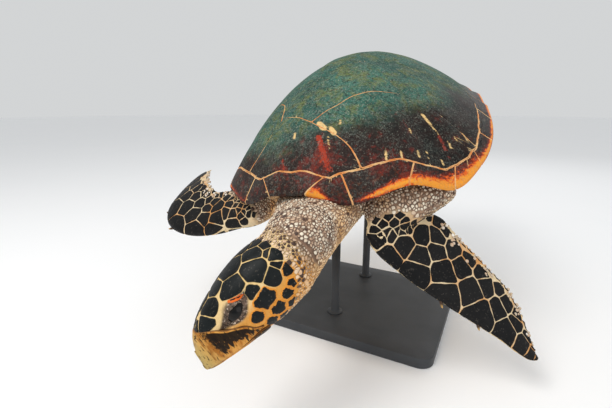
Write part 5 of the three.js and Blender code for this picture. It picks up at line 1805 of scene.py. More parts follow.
@dataclass
class Beak:
    """The horn of the bill: an upper sheath hooked at the tip and a lower one set up inside it."""

    head: HeadForm
    finish: bpy.types.Material
    thickness: float = 2.7
    across: int = 150
    back: int = 84
    # distance back from the tip, degrees and radius
    nostril: Spot = (15.5, 71.0, 1.9)
    nostril_depth: float = 2.2
    stands_off: float = 0.35
    # how far back the lower sheath begins
    lower_from: float = 3.2

    def mouth_angle(self, s: Array) -> Array:
        """Angle at which the mouth line runs along the left side, degrees.

        Args:
            s: distances back from the tip (n,).

        Returns:
            angles (n,).
        """
        row = self.head.row(s)
        z = np.interp(s, *self.head.mouth.T)
        middle, tall = (row[:, 2] + row[:, 3]) / 2, (row[:, 2] - row[:, 3]) / 2
        share = np.clip((middle - z) / tall, 0, 1)
        return -np.degrees(np.arcsin(share ** (self.head.square / 2)))

    def angle(self, s: Array, f: Array, upper: bool) -> Array:
        """Angles from the left mouth line (f = 0) over the top, or under the chin, to the right one."""
        start = self.mouth_angle(s.ravel()).reshape(s.shape)
        return start + f * (180 - 2 * start) if upper else start - f * (180 + 2 * start)

    def limits(self, f: Array, upper: bool) -> Array:
        """How far back each column runs before it meets the skin.

        Args:
            f: shares of the way round (columns,).
            upper: which sheath.

        Returns:
            distances back (columns,).
        """
        s, columns = np.meshgrid(np.linspace(1, 84, 333), f, indexing="ij")
        points = self.head.at(s, self.angle(s, columns, upper))
        if not upper:
            return np.interp(points[-1, :, 2], [-60, -38], [80, 84])
        top = np.concatenate([[[85, -34], [80, -25]], self.head.beak_top[1:]])
        rear = np.interp(points[..., 2], top[:, 1], top[:, 0], right=19.6)
        return s[np.argmax(s > rear, 0), 0]

    def sheath(self, upper: bool) -> Shape:
        """One sheath: a grid from the tip to the edge on the skin, given thickness and rolled edges.

        Args:
            upper: which sheath.

        Returns:
            its closed shape.
        """
        f = np.linspace(0, 1, self.across)
        limit = self.limits(f, upper)
        smooth = np.convolve(np.pad(limit, 4, mode="edge"), np.ones(9) / 9, mode="valid")
        first = 0.0 if upper else self.lower_from
        t = np.linspace(0, 1, self.back) ** 1.15
        s = first + t[:, None] * (smooth - first)
        columns = np.broadcast_to(f, s.shape)
        phi = self.angle(s, columns, upper)
        edge = np.minimum((smooth - s) * 0.9, np.minimum(columns, 1 - columns) * np.maximum(s, 8) * 3.4)
        s_n, phi_n, r_n = self.nostril
        bare = self.head.at(s, phi)
        pit = np.zeros_like(s)
        for side in (phi_n, 180 - phi_n):
            far = np.linalg.norm(bare - self.head.at(np.array(s_n), np.array(side)), axis=-1)
            pit = pit + np.exp(-((far / r_n) ** 4)) * upper
        out = self.stands_off - 1.0 * np.maximum(1 - edge / 2.0, 0) ** 2
        out = out - self.nostril_depth * pit + 0.2 * ripple(bare, 22, 61)
        top = self.head.at(s, phi, out)
        low = self.head.at(s, phi, out - self.thickness * smooth_step(0, 10, s) - 0.8)
        if upper:
            centre = np.array([0.0, 0.0, -26.0])
            shrink = np.array([0.02, 0.35, 0.62, 0.82, 0.95])[:, None, None]
            tip = [centre + (grid[:1] - centre) * shrink - np.array([0, 1, 0]) * 1.7 * np.sqrt(1 - shrink**2)
                   for grid in (top, low)]
            top, low = np.concatenate([tip[0], top]), np.concatenate([tip[1] + [0, 0.9, 0], low])
            s = np.concatenate([np.zeros((5, len(f))), s])
            edge = np.concatenate([np.full((5, len(f)), 9.0), edge])
            pit = np.concatenate([np.zeros((5, len(f))), pit])
        values = {"hs": s, "hz": top[..., 2], "hx": top[..., 0], "edge": edge, "pit": pit}
        shape = slab(top, low, values)
        shape.points = self.head.place(shape.points)
        return shape

    def build(self) -> None:
        """Both sheaths."""
        show(self.sheath(True).make("bill_upper", self.finish), "beak", "beak_upper")
        show(self.sheath(False).make("bill_lower", self.finish), "beak", "beak_lower")


@dataclass
class Eyes:
    """The eyeballs, glossy spheres whose rings run round the line of sight."""

    head: HeadForm
    finish: bpy.types.Material
    rings: int = 40
    around: int = 56
    # where the left eye looks, in the head's frame
    sight: Spot = (0.93, -0.22, 0.28)

    def build(self) -> None:
        """A ball behind each opening, its front ring by ring from the pupil."""
        angle = np.linspace(0.03, np.pi - 0.03, self.rings)
        round_ = np.arange(self.around) * 2 * np.pi / self.around
        for side in Side:
            sight = unit(side.turned(np.array(self.sight)))
            across = unit(np.cross(sight, [0, 0, 1]))
            up = np.cross(across, sight)
            circle = np.cos(round_)[:, None] * across + np.sin(round_)[:, None] * up
            ball = np.cos(angle)[:, None, None] * sight + np.sin(angle)[:, None, None] * circle
            centre = side.turned(np.array(self.head.eye_centre))
            bulge = 1 + 0.012 * np.exp(-((angle / 0.5) ** 2))
            points = self.head.place(centre + ball * (self.head.eye_radius * bulge)[:, None, None])
            gaze = np.broadcast_to(np.degrees(angle)[:, None], ball.shape[:2])
            shape = loft(points, {"gaze": gaze})
            show(shape.make(f"eyeball_{side.word}", self.finish), "eyes", f"eye_{side.word}")


@dataclass
class Claws:
    """Two small claws on the leading edge of every flipper."""

    body: Body
    finish: bpy.types.Material
    # station and length
    front: tuple[Pair, ...] = ((7.2, 8.0), (8.8, 6.0))
    hind: tuple[Pair, ...] = ((3.4, 7.0), (4.5, 5.0))
    lean: float = 1.1
    root: float = 4.0
    width: float = 5.8
    curl: float = 0.16
    flatness: float = 0.75

    def build(self) -> None:
        """Curved tapering horns, thickest at the root."""
        t, angle = np.linspace(0, 1, 18), np.arange(20) * 2 * np.pi / 20
        for part, flipper in self.body.flippers.items():
            claws = self.front if part.startswith("front") else self.hind
            for number, (station, length) in enumerate(claws, 1):
                here, ahead = (along(flipper.table, np.array(station + d)) for d in (0.0, 0.1))
                chord, onward = unit(here[3:6] - here[:3]), unit(ahead[:3] - here[:3])
                point = unit(self.lean * onward - chord)
                up = unit(np.cross(point, onward))
                side = np.cross(up, point)
                far = t * (length + self.root) - self.root
                line = here[:3] + far[:, None] * point + (self.curl * length * t**2.4)[:, None] * onward
                radius = self.width / 2 * np.sqrt(np.maximum(1 - t**1.6, 0.004))
                ring = np.cos(angle)[:, None] * side + self.flatness * np.sin(angle)[:, None] * up
                points = line[:, None] + radius[:, None, None] * ring
                shape = loft(points, {"tip": np.broadcast_to(t[:, None], points.shape[:2])})
                show(shape.make(f"claw_{part}_{number}", self.finish), "claws", f"flipper_{part}_claw_{number}")


@dataclass
class Belly:
    """The plastron's paired plates and the bridge plates that join it to the rim."""

    trunk: Trunk
    finish: bpy.types.Material
    cuts: tuple[float, ...] = (-236, -176, -96, -8, 92, 182, 252)
    names: tuple[str, ...] = ("gular", "humeral", "pectoral", "abdominal", "femoral", "anal")
    seat: float = 0.7
    thickness: float = 6.0
    rolled: float = 1.2
    gap: float = 0.2
    bridge_cuts: tuple[float, ...] = (-104.0, -53.5, -3.0, 47.5, 98.0)
    # how far the bridge stops short of the rim
    short: float = 16.0

    @staticmethod
    def spread(rows: int) -> tuple[Array, Array]:
        """Shares of the way along and across a plate, crowded toward its edges."""
        along_, across = ((1 - np.cos(np.linspace(0, np.pi, count))) / 2 for count in (rows, 40))
        return np.meshgrid(along_, across, indexing="ij")

    def roll(self, edge: Array) -> Array:
        """How far a plate falls off at a distance from its edge."""
        return self.rolled * np.maximum(1 - edge / 4, 0) ** 2

    def pair(self, start: float, end: float) -> Shape:
        """A left and a right plate between two cuts.

        Args:
            start: y of the front cut.
            end: y of the rear cut.

        Returns:
            both plates as one shape.
        """
        halves = []
        for side in Side:
            v, u = self.spread(40)
            y = start + self.gap + (end - start - 2 * self.gap) * v
            half = self.trunk.half(np.clip(y, self.cuts[0], self.cuts[-1]))
            x = self.gap + (half - self.gap) * u
            to_cut, to_side = np.minimum(v, 1 - v) * (end - start), np.minimum(u, 1 - u) * half
            edge = np.minimum(to_cut, to_side)
            floor = self.trunk.belly(x, y) - self.seat
            under = floor - self.thickness + self.roll(edge) - 0.3 * ripple(np.stack([x, y], -1), 70, 71)
            low, top = np.stack([x, y, under], -1), np.stack([x, y, floor], -1)
            run = np.where(to_cut < to_side, x, y + 500)
            tag = (start * 0.013 + side.value * 0.3) % 1
            values = {"edge": edge, "run": run, "plate": np.full(x.shape, tag)}
            halves.append(slab(side.turned(top), side.turned(low), values))
        return Shape.join(halves)

    def bridge(self, side: Side) -> Shape:
        """Four plates between plastron and rim, their outer face bowed out and down.

        Args:
            side: the side they close.

        Returns:
            the plates as one shape.
        """
        plates = []
        for start, end in zip(self.bridge_cuts, self.bridge_cuts[1:]):
            v, share = self.spread(36)
            y = start + self.gap + (end - start - 2 * self.gap) * v
            low = self.trunk.half(y) + 1.2
            angle = np.arctan2(low, self.trunk.shell.crown_y - y)
            reach, rim_z = self.trunk.rim(angle)
            high = reach * np.sin(angle) - self.short
            x = low + (high - low) * share
            foot = self.trunk.belly(low, y) - 3
            z = foot + (rim_z - 12 - foot) * share**1.4
            to_cut = np.minimum(v, 1 - v) * (end - start)
            edge = np.minimum(to_cut, np.minimum(share, 1 - share) * (high - low) * 1.3)

            def layer(out: Array | float) -> Array:
                """The bridge moved outward."""
                return np.stack([x + out * 0.55, y, z - out * 0.8 * (1 - share * 0.6)], -1)

            run = np.where(share < 0.1, y, x + 300)
            values = {"edge": edge, "run": run, "plate": np.full(x.shape, start % 1)}
            outer, inner = layer(0.5 - self.roll(edge)), layer(-self.thickness)
            plates.append(slab(side.turned(outer), side.turned(inner), values))
        return Shape.join(plates)

    def build(self) -> None:
        """All the plates below."""
        for name, start, end in zip(self.names, self.cuts[:-1], self.cuts[1:]):
            piece = self.pair(start, end).make(f"belly_{name}_plates", self.finish)
            show(piece, "belly_plates", f"plastron_{name}_plates")
        for side in Side:
            piece = self.bridge(side).make(f"belly_bridge_plates_{side.word}", self.finish)
            show(piece, "belly_plates", f"shell_bridge_plates_{side.word}")


@dataclass
class Stand:
    """A flat base with two rods under the belly, laid out in the finished frame."""

    trunk: Trunk
    finish: bpy.types.Material
    size: tuple[float, ...] = (430.0, 330.0, 20.0, 26.0)
    rods: dict[str, Pair] = field(default_factory=lambda: {"front": (0, -88), "rear": (0, 112)})
    radius: float = 9.0
    sink: float = 0.3
    drop: float = 6.7
    easing: float = 1.6

    def base(self) -> Shape:
        """A slab with round corners and eased edges, ring by ring from below."""
        width, depth, height, corner = self.size
        arc = np.linspace(0, np.pi / 2, 14)
        quarters = []
        for n, (sx, sy) in enumerate(((1, 1), (-1, 1), (-1, -1), (1, -1))):
            a = arc + n * np.pi / 2
            quarters.append(np.stack([sx * (width / 2 - corner) + corner * np.cos(a),
                                      sy * (depth / 2 - corner) + corner * np.sin(a)], -1))
        outline = np.concatenate(quarters)
        way = unit(outline - outline * [(width / 2 - corner) / (width / 2), (depth / 2 - corner) / (depth / 2)])
        rise = np.linspace(0, 1, 5)
        edge = self.easing * (1 - np.sqrt(np.maximum(1 - (1 - rise) ** 2, 0)))
        inset = np.concatenate([edge, edge[::-1], [30 * self.easing]])
        z = np.concatenate([self.easing * rise, height - self.easing * (1 - rise), [height]])
        rings = [np.insert(outline - way * i, 2, h, axis=1) for i, h in zip(inset, z)]
        return loft(np.stack(rings))

    def under(self, x: Array, y: Array) -> Array:
        """Height of the plastron's underside over points of the floor, found by stepping up to it.

        Args:
            x: places on the floor (n,).
            y: places on the floor (n,).

        Returns:
            heights (n,).
        """
        start = BODY.back(np.stack([x, y, np.zeros_like(x)], -1))
        climb = BODY.rotation.T @ np.array([0, 0, 1.0])
        height = np.zeros_like(x)
        for _ in range(30):
            p = start + climb * height[:, None]
            height = height + (self.trunk.belly(p[:, 0], p[:, 1]) - self.drop - p[:, 2]) / climb[2]
        return height

    def rod(self, x: float, y: float) -> Shape:
        """A rod with a foot collar, its top cut to the belly's slope.

        Args:
            x: its place on the floor.
            y: its place on the floor.

        Returns:
            its closed shape.
        """
        angle = np.arange(40) * 2 * np.pi / 40
        radii = self.radius + np.array([7, 7, 6, 1.2, 0, 0])
        heights = np.array([0, 2.4, 3.4, 4.0, 5.5, 0]) + self.size[2] + self.sink
        rings = []
        for n, (r, h) in enumerate(zip(radii, heights)):
            px, py = x + r * np.cos(angle), y + r * np.sin(angle)
            z = self.under(px, py) - self.sink if n == len(radii) - 1 else np.full(40, h)
            rings.append(np.stack([px, py, z], -1))
        return loft(np.stack(rings))

    def build(self) -> None:
        """The base and its rods."""
        show(self.base().make("base_plate", self.finish, FLOOR), "stand", "stand_base")
        for word, (x, y) in self.rods.items():
            show(self.rod(x, y).make(f"rod_{word}", self.finish, FLOOR), "stand", f"stand_rod_{word}")


# ---- finishes ----------------------------------------------------------------------------------


def tint(red: float, green: float, blue: float) -> tuple[float, ...]:
    """A colour given as 0..255 display values, in linear light."""
    line = [c / 255 for c in (red, green, blue)]
    return (*(c / 12.92 if c <= 0.04045 else ((c + 0.055) / 1.055) ** 2.4 for c in line), 1.0)


Socket = bpy.types.NodeSocket


class Flow:
    """What comes out of a socket; +, - and * on it make math nodes."""

    def __init__(self, wiring: "Wiring", socket: Socket) -> None:
        """Takes a socket of a wiring's tree."""
        self.wiring, self.socket = wiring, socket

    def __add__(self, other: "Given") -> "Flow":
        """The sum."""
        return self.wiring.math("ADD", self, other)

    def __sub__(self, other: "Given") -> "Flow":
        """The difference."""
        return self.wiring.math("SUBTRACT", self, other)

    def __rsub__(self, other: float) -> "Flow":
        """A number less this."""
        return self.wiring.math("SUBTRACT", other, self)

    def __mul__(self, other: "Given") -> "Flow":
        """The product."""
        return self.wiring.math("MULTIPLY", self, other)


Given = Flow | float | tuple[float, ...]


class Wiring:
    """A short way to write a node tree."""

    def __init__(self, tree: bpy.types.NodeTree) -> None:
        """Starts on a tree, with the piece's own coordinates ready."""
        self.tree = tree
        self.place = self.flow("ShaderNodeTexCoord", {}, "Object")

    def flow(self, kind: str, inputs: dict[str | int, Given], output: str | int = 0,
             **settings: str | bool | bpy.types.NodeTree) -> Flow:
        """One output of a new node.

        Args:
            kind: Blender's name of the node.
            inputs: what its sockets are linked or set to.
            output: which output is given back.
            settings: properties of the node.
        """
        return Flow(self, self.node(kind, inputs, **settings).outputs[output])

    def node(self, kind: str, inputs: dict[str | int, Given],
             **settings: str | bool | bpy.types.NodeTree) -> bpy.types.Node:
        """A new node with its settings and inputs, as in flow."""
        made = self.tree.nodes.new(kind)
        for key, value in settings.items():
            setattr(made, key, value)
        for key, value in inputs.items():
            self.feed(made.inputs[key], value)
        return made

    def feed(self, socket: Socket, value: Given) -> None:
        """Links a socket, or sets the constant on it."""
        if isinstance(value, Flow):
            self.tree.links.new(value.socket, socket)
        else:
            socket.default_value = value

    def math(self, operation: str, *values: Given, clamp: bool = False) -> Flow:
        """A sum, product or other operation."""
        return self.flow("ShaderNodeMath", dict(enumerate(values)), operation=operation, use_clamp=clamp)

    def step(self, low: Given, high: Given, x: Given) -> Flow:
        """0 below low, 1 above high, smooth between; low may be the greater."""
        return self.flow("ShaderNodeMapRange", {0: x, 1: low, 2: high}, interpolation_type="SMOOTHSTEP")

    def noise(self, wavelength: float, detail: float = 3.0, rough: float = 0.55, warp: float = 0.0,
              place: Flow | None = None) -> Flow:
        """Noise of a wavelength in thousandths of the place's unit, by itself the piece's own coordinates."""
        return self.flow("ShaderNodeTexNoise", {"Vector": place or self.place, "Scale": 1000 / wavelength,
                                                "Detail": detail, "Roughness": rough, "Distortion": warp})

    def cells(self, wavelength: float, feature: str = "F1") -> Flow:
        """Distance to scattered points, or to the borders between them."""
        return self.flow("ShaderNodeTexVoronoi", {"Vector": self.place, "Scale": 1000 / wavelength}, "Distance",
                         feature=feature)

    def mix(self, share: Given, under: Given, over: Given) -> Flow:
        """One colour laid over another."""
        return self.flow("ShaderNodeMix", {0: share, 6: under, 7: over}, 2, data_type="RGBA")

    def value(self, name: str) -> Flow:
        """A value carried by the mesh."""
        return self.flow("ShaderNodeAttribute", {}, "Fac", attribute_name=name)

    def shift(self, offset: Spot, scale: Spot = (1, 1, 1)) -> Flow:
        """The piece's coordinates moved and stretched."""
        return self.flow("ShaderNodeMapping", {"Vector": self.place, "Location": offset, "Scale": scale})

    def joined(self, x: Given, y: Given, z: Given = 0.0) -> Flow:
        """Three values as a vector."""
        return self.flow("ShaderNodeCombineXYZ", {0: x, 1: y, 2: z})

    def use(self, group: "Shared", **values: Given) -> dict[str, Flow]:
        """The outputs of a shared group with its own values."""
        made = self.node("ShaderNodeGroup", values, node_tree=group.tree)
        return {socket.name: Flow(self, socket) for socket in made.outputs}


def shared(name: str, inputs: dict[str, float], outputs: dict[str, str],
           wire: Callable[[Wiring, dict[str, Flow]], dict[str, Flow]]) -> bpy.types.NodeTree:
    """A shader node group with named inputs and outputs.

    Args:
        name: the group's name.
        inputs: float inputs with their defaults.
        outputs: output names with "Float" or "Color".
        wire: lays the nodes between and gives back what each output carries.
    """
    tree = bpy.data.node_groups.new(name, "ShaderNodeTree")
    for key, value in inputs.items():
        tree.interface.new_socket(key, in_out="INPUT", socket_type="NodeSocketFloat").default_value = value
    for key, kind in outputs.items():
        tree.interface.new_socket(key, in_out="OUTPUT", socket_type=f"NodeSocket{kind}")
    wiring = Wiring(tree)
    start, end = tree.nodes.new("NodeGroupInput"), tree.nodes.new("NodeGroupOutput")
    for key, flow in wire(wiring, {key: Flow(wiring, start.outputs[key]) for key in inputs}).items():
        wiring.feed(end.inputs[key], flow)
    return tree


def seam_lines(w: Wiring, given: dict[str, Flow]) -> dict[str, Flow]:
    """Pale growth along a plate's edge, of uneven width, with short spurs running in from it.

    Args:
        w: the group's wiring.
        given: its inputs by name.

    Returns:
        its outputs by name.
    """
    width = given["Width"] * (w.noise(9, 3) * 0.9 + 0.55)
    frayed = given["Edge"] + w.noise(2.2, 2) * 0.8 - 0.4
    line = 1.0 - w.step(width * 0.75, width * 1.15, frayed)
    lane = w.joined(given["Run"] * 0.36, given["Plate"] * 53.0)
    slow = w.noise(1000 / 0.17, 1, 0.5, place=lane)
    reach = given["Spurs"] * w.step(0.5, 0.8, slow) + 0.02
    inside = 1.0 - w.step(reach * 0.6, reach, given["Edge"])
    spur = w.step(0.57, 0.63, w.noise(1000, 2, 0.5, place=lane)) * inside
    return {"Line": line, "Spur": spur * w.step(0.36, 0.5, w.noise(3.5, 3))}


def water_film(w: Wiring, given: dict[str, Flow]) -> dict[str, Flow]:
    """A thin growth of algae, which also stands for a painted greenish cast of water light: grey-green with
    olive and rusty mottling, patchy at its border.

    Args:
        w: the group's wiring.
        given: its inputs by name.

    Returns:
        its outputs by name.
    """
    mottle = w.noise(30, 6, 0.68, 0.6)
    fine = w.noise(5, 5, 0.7)
    colour = w.mix(w.step(0.35, 0.7, w.noise(70, 4, 0.6)), tint(40, 82, 74), tint(62, 112, 98))
    colour = w.mix(w.step(0.46, 0.64, mottle) * 0.75, colour, tint(110, 116, 58))
    rust = w.step(0.6, 0.72, w.noise(17, 6, 0.72, 0.9, w.shift((0.31, 0.17, 0.05)))) * 0.75
    colour = w.mix(rust, colour, tint(134, 88, 40))
    colour = w.mix(w.step(0.52, 0.36, fine) * 0.8, colour, tint(20, 27, 28))
    colour = w.mix(w.step(0.54, 0.64, w.noise(3.2, 4, 0.75)) * 0.7, colour, tint(142, 158, 138))
    patchy = given["Amount"] + w.noise(16, 6, 0.7, 0.4) * 0.9 - 0.45
    cover = w.math("MULTIPLY", w.step(0.15, 1.0, patchy), fine * 0.5 + 0.66, clamp=True)
    return {"Colour": colour, "Cover": cover}


def light_speckle(w: Wiring, given: dict[str, Flow]) -> dict[str, Flow]:
    """Fine pale flecks, some of them drawn out as scratches.

    Args:
        w: the group's wiring.
        given: its inputs by name.

    Returns:
        its outputs by name.
    """
    dots = w.step(0.36, 0.2, w.cells(3.4)) * w.step(0.5, 0.62, w.noise(6.5, 3, 0.6))
    scratch = w.noise(9, 2, 0.5, 0.0, w.shift((0.2, 0.1, 0.4), (2.6, 0.5, 1.7)))
    mask = w.math("ADD", dots, w.step(0.66, 0.7, scratch) * 0.6, clamp=True)
    return {"Mask": w.math("MULTIPLY", mask, given["Amount"], clamp=True)}


def deep_glow(w: Wiring, given: dict[str, Flow]) -> dict[str, Flow]:
    """The marbling of tortoiseshell: deep red-brown rays in near-black horn, redder where Warmth is high.

    Args:
        w: the group's wiring.
        given: its inputs by name.

    Returns:
        its outputs by name.
    """
    marbling = w.noise(46, 5, 0.6, 1.2)
    rays = w.noise(11, 4, 0.6, 0.5, w.shift((0, 0, 0), (1.5, 0.7, 1.2)))
    share = rays * 0.5 + marbling * 0.6 + given["Warmth"] * 0.2
    colour = w.mix(w.step(0.45, 0.74, share), tint(18, 17, 16), tint(38, 24, 21))
    colour = w.mix(w.step(0.73, 0.86, share), colour, tint(92, 30, 22))
    colour = w.mix(w.step(0.88, 0.98, share), colour, tint(176, 60, 24))
    return {"Colour": colour}


class Shared(Enum):
    """The node groups that several finishes use."""

    SEAM = "Seam lines"
    FILM = "Water film"
    SPECKLE = "Light speckle"
    GLOW = "Deep glow"

    @property
    def tree(self) -> bpy.types.NodeTree:
        """The group, made when first asked for."""
        edges = {"Edge": 0.0, "Run": 0.0, "Plate": 0.0, "Width": 1.5, "Spurs": 8.0}
        laid = {
            Shared.SEAM: (edges, {"Line": "Float", "Spur": "Float"}, seam_lines),
            Shared.FILM: ({"Amount": 0.5}, {"Colour": "Color", "Cover": "Float"}, water_film),
            Shared.SPECKLE: ({"Amount": 0.5}, {"Mask": "Float"}, light_speckle),
            Shared.GLOW: ({"Warmth": 0.0}, {"Colour": "Color"}, deep_glow),
        }
        return bpy.data.node_groups.get(self.value) or shared(self.value, *laid[self])


@dataclass(frozen=True)
class Finish:
    """A finish: a material whose colour, roughness and relief are worked out by nodes."""

    name: str
    roughness: float = 0.5
    relief: float = 0.4
    gloss: float = 0.25

    def colour(self, w: Wiring) -> tuple[Given, Given, Given]:
        """The colour, the roughness and the height in millimetres."""
        raise NotImplementedError

    def make(self) -> bpy.types.Material:
        """The material."""
        material = bpy.data.materials.new(self.name)
        material.use_nodes = True
        w = Wiring(material.node_tree)
        shader = material.node_tree.nodes["Principled BSDF"]
        colour, rough, height = self.colour(w)
        w.feed(shader.inputs["Base Color"], colour)
        w.feed(shader.inputs["Roughness"], rough)
        shader.inputs["Specular IOR Level"].default_value = self.gloss
        bump = {"Strength": self.relief, "Distance": MM, "Height": height}
        w.feed(shader.inputs["Normal"], w.flow("ShaderNodeBump", bump))
        return material


@dataclass(frozen=True)
class ShellHorn(Finish):
    """Tortoiseshell under a film of algae and painted greenish water light, with pale seams, spurs, streaks and
    scars.
    """

    seam: float = 1.25
    rim: bool = False

    def colour(self, w: Wiring) -> tuple[Given, Given, Given]:
        """Marbled horn, then the algae film with its painted water light, flames, marks, speckle and seams over
        it.

        Args:
            w: the material's wiring.

        Returns:
            the colour, the roughness and the height in millimetres.
        """
        algae_and_water_light_amount = w.value("film")
        colour = w.use(Shared.GLOW, Warmth=w.value("warmth"))["Colour"]
        # painted light: the film's cover, greenest over the top of the shell, is partly algae and partly a
        # painted greenish cast of water light
        film = w.use(Shared.FILM, Amount=algae_and_water_light_amount)
        colour = w.mix(film["Cover"], colour, film["Colour"])
        if self.rim:
            licks = w.noise(15, 6, 0.74, 1.6, w.shift((0, 0, 0), (1.0, 0.55, 1.5)))
            ragged = w.value("band") + licks * 3.0 - 1.6
            flicker = w.noise(19, 6, 0.7, 1.4, w.shift((0.4, 0, 0), (1.0, 0.5, 1.4)))
            red = w.step(-1.0, 0.2, ragged + flicker * 3.4 - 1.5)
            colour = w.mix(red * 0.85, colour, tint(112, 34, 20))
            colour = w.mix(w.step(-0.16, 0.12, ragged), colour, tint(216, 84, 22))
            colour = w.mix(w.step(0.1, 0.6, ragged), colour, tint(232, 150, 48))
            colour = w.mix(w.step(0.5, 0.75, w.noise(5, 4)) * 0.35, colour, tint(120, 60, 24))
            below = w.mix(w.step(0.42, 0.62, w.noise(34, 4)), tint(206, 150, 76), tint(226, 184, 112))
            colour = w.mix(w.value("belly"), colour, below)
        marks = (("streak", 24.0, tint(156, 48, 24)), ("scar", 7.0, tint(226, 190, 128)),
                 ("ruddy", 15.0, tint(124, 44, 32)))
        for mark, sway, hue in marks if not self.rim else ():
            ragged = w.value(mark) + w.noise(7.0, 6, 0.78, 1.4) * sway - 0.53 * sway
            patchy = w.step(-0.9, 0.9, ragged) * w.step(0.32, 0.42, w.noise(4.0, 5, 0.75))
            colour = w.mix(patchy, colour, hue)
        fleck = w.use(Shared.SPECKLE, Amount=algae_and_water_light_amount * 0.4 + 0.34)["Mask"]
        colour = w.mix(fleck, colour, tint(146, 146, 132))
        grain = w.step(0.46, 0.66, w.noise(3.0, 5, 0.8)) * w.step(-0.6, 0.5, algae_and_water_light_amount)
        grain = grain * (w.step(0.38, 0.6, w.noise(26, 4)) * 0.75 + 0.25)
        colour = w.mix(grain * 0.62, colour, tint(118, 126, 118))
        strength = w.value("seam")
        lines = w.use(Shared.SEAM, Edge=w.value("edge"), Run=w.value("run"), Plate=w.value("plate"),
                      Width=strength * self.seam, Spurs=strength * 6.0 + 5.0)
        pale = w.mix(w.step(0.35, 0.65, w.noise(24, 3)), tint(232, 192, 138), tint(220, 140, 76))
        colour = w.mix(lines["Spur"] * 0.85, colour, tint(222, 188, 134))
        colour = w.mix(lines["Line"], colour, pale)
        rough = film["Cover"] * 0.22 + w.noise(6, 4) * 0.18 + self.roughness - 0.09
        height = fleck * 0.16 + w.noise(2.4, 4, 0.65) * 0.5 + w.noise(14, 4, 0.6) * 0.9
        return colour, rough, height


@dataclass(frozen=True)
class BellyHorn(Finish):
    """Amber horn of the underside with darker seams."""

    def colour(self, w: Wiring) -> tuple[Given, Given, Given]:
        """Clouded amber, brown growth marks and thin brown seams.

        Args:
            w: the material's wiring.

        Returns:
            the colour, the roughness and the height in millimetres.
        """
        cloud = w.noise(52, 5, 0.6, 0.8)
        colour = w.mix(w.step(0.35, 0.68, cloud), tint(214, 166, 92), tint(236, 204, 142))
        colour = w.mix(w.step(0.6, 0.74, w.noise(30, 6, 0.7, 0.5)) * 0.5, colour, tint(150, 92, 44))
        lines = w.use(Shared.SEAM, Edge=w.value("edge"), Run=w.value("run"), Plate=w.value("plate"), Width=0.9,
                      Spurs=2.0)
        colour = w.mix(lines["Line"], colour, tint(132, 86, 50))
        return colour, cloud * 0.2 + self.roughness, w.noise(3, 4) * 0.5 + cloud * 0.8


@dataclass(frozen=True)
class ScaleHorn(Finish):
    """A scale: dark pigment in the middle, held back from a pale margin by a wavering border."""

    dark: tuple[float, ...] = tint(13, 13, 14)
    dark_other: tuple[float, ...] = tint(24, 23, 23)
    pale: tuple[float, ...] = tint(226, 204, 166)
    pale_other: tuple[float, ...] = tint(214, 154, 90)
    margin: float = 0.7
    head: bool = False

    def colour(self, w: Wiring) -> tuple[Given, Given, Given]:
        """Pigment over the pale ground, both mottled from scale to scale.

        Args:
            w: the material's wiring.

        Returns:
            the colour, the roughness and the height in millimetres.
        """
        tone, edge = w.value("tone"), w.value("edge")
        waver = w.noise(7, 3, 0.6) * 2.0 + w.noise(2.0, 3, 0.6) - 1.5
        if self.head:
            cheek = w.value("cheek")
            border = cheek * 1.5 + self.margin
            sway = cheek * 2.6 + 0.35
            ground = w.mix(w.step(0.25, 0.75, cheek), self.pale, self.pale_other)
            ground = w.mix(w.value("amber"), ground, tint(228, 104, 26))
            border = border + w.value("amber") * 3.5
        else:
            below = w.value("under")
            border = below * 2.6 + self.margin
            sway = below * 2.2 + 0.35
            warm = w.step(0.4, 0.64, w.noise(48, 3))
            ground = w.mix(warm, self.pale, self.pale_other)
            ground = w.mix(below, ground, tint(230, 208, 164))
        pigment = w.step(-0.45, 0.45, edge - border - tone * 0.5 + 0.25 + waver * sway)
        mottle = w.noise(9, 5, 0.65)
        dark = w.mix(w.step(0.4, 0.7, tone * 0.3 + mottle * 0.8), self.dark, self.dark_other)
        ground = w.mix(w.step(0.5, 0.7, w.noise(3.2, 4)) * 0.4, ground, tint(158, 116, 84))
        colour = w.mix(pigment, ground, dark)
        colour = w.mix(w.use(Shared.SPECKLE, Amount=0.14)["Mask"], colour, tint(150, 140, 130))
        height = w.noise(1.5, 4, 0.6) * 0.5 + w.noise(6, 4) * 0.7
        return colour, mottle * 0.24 + self.roughness - 0.1, height


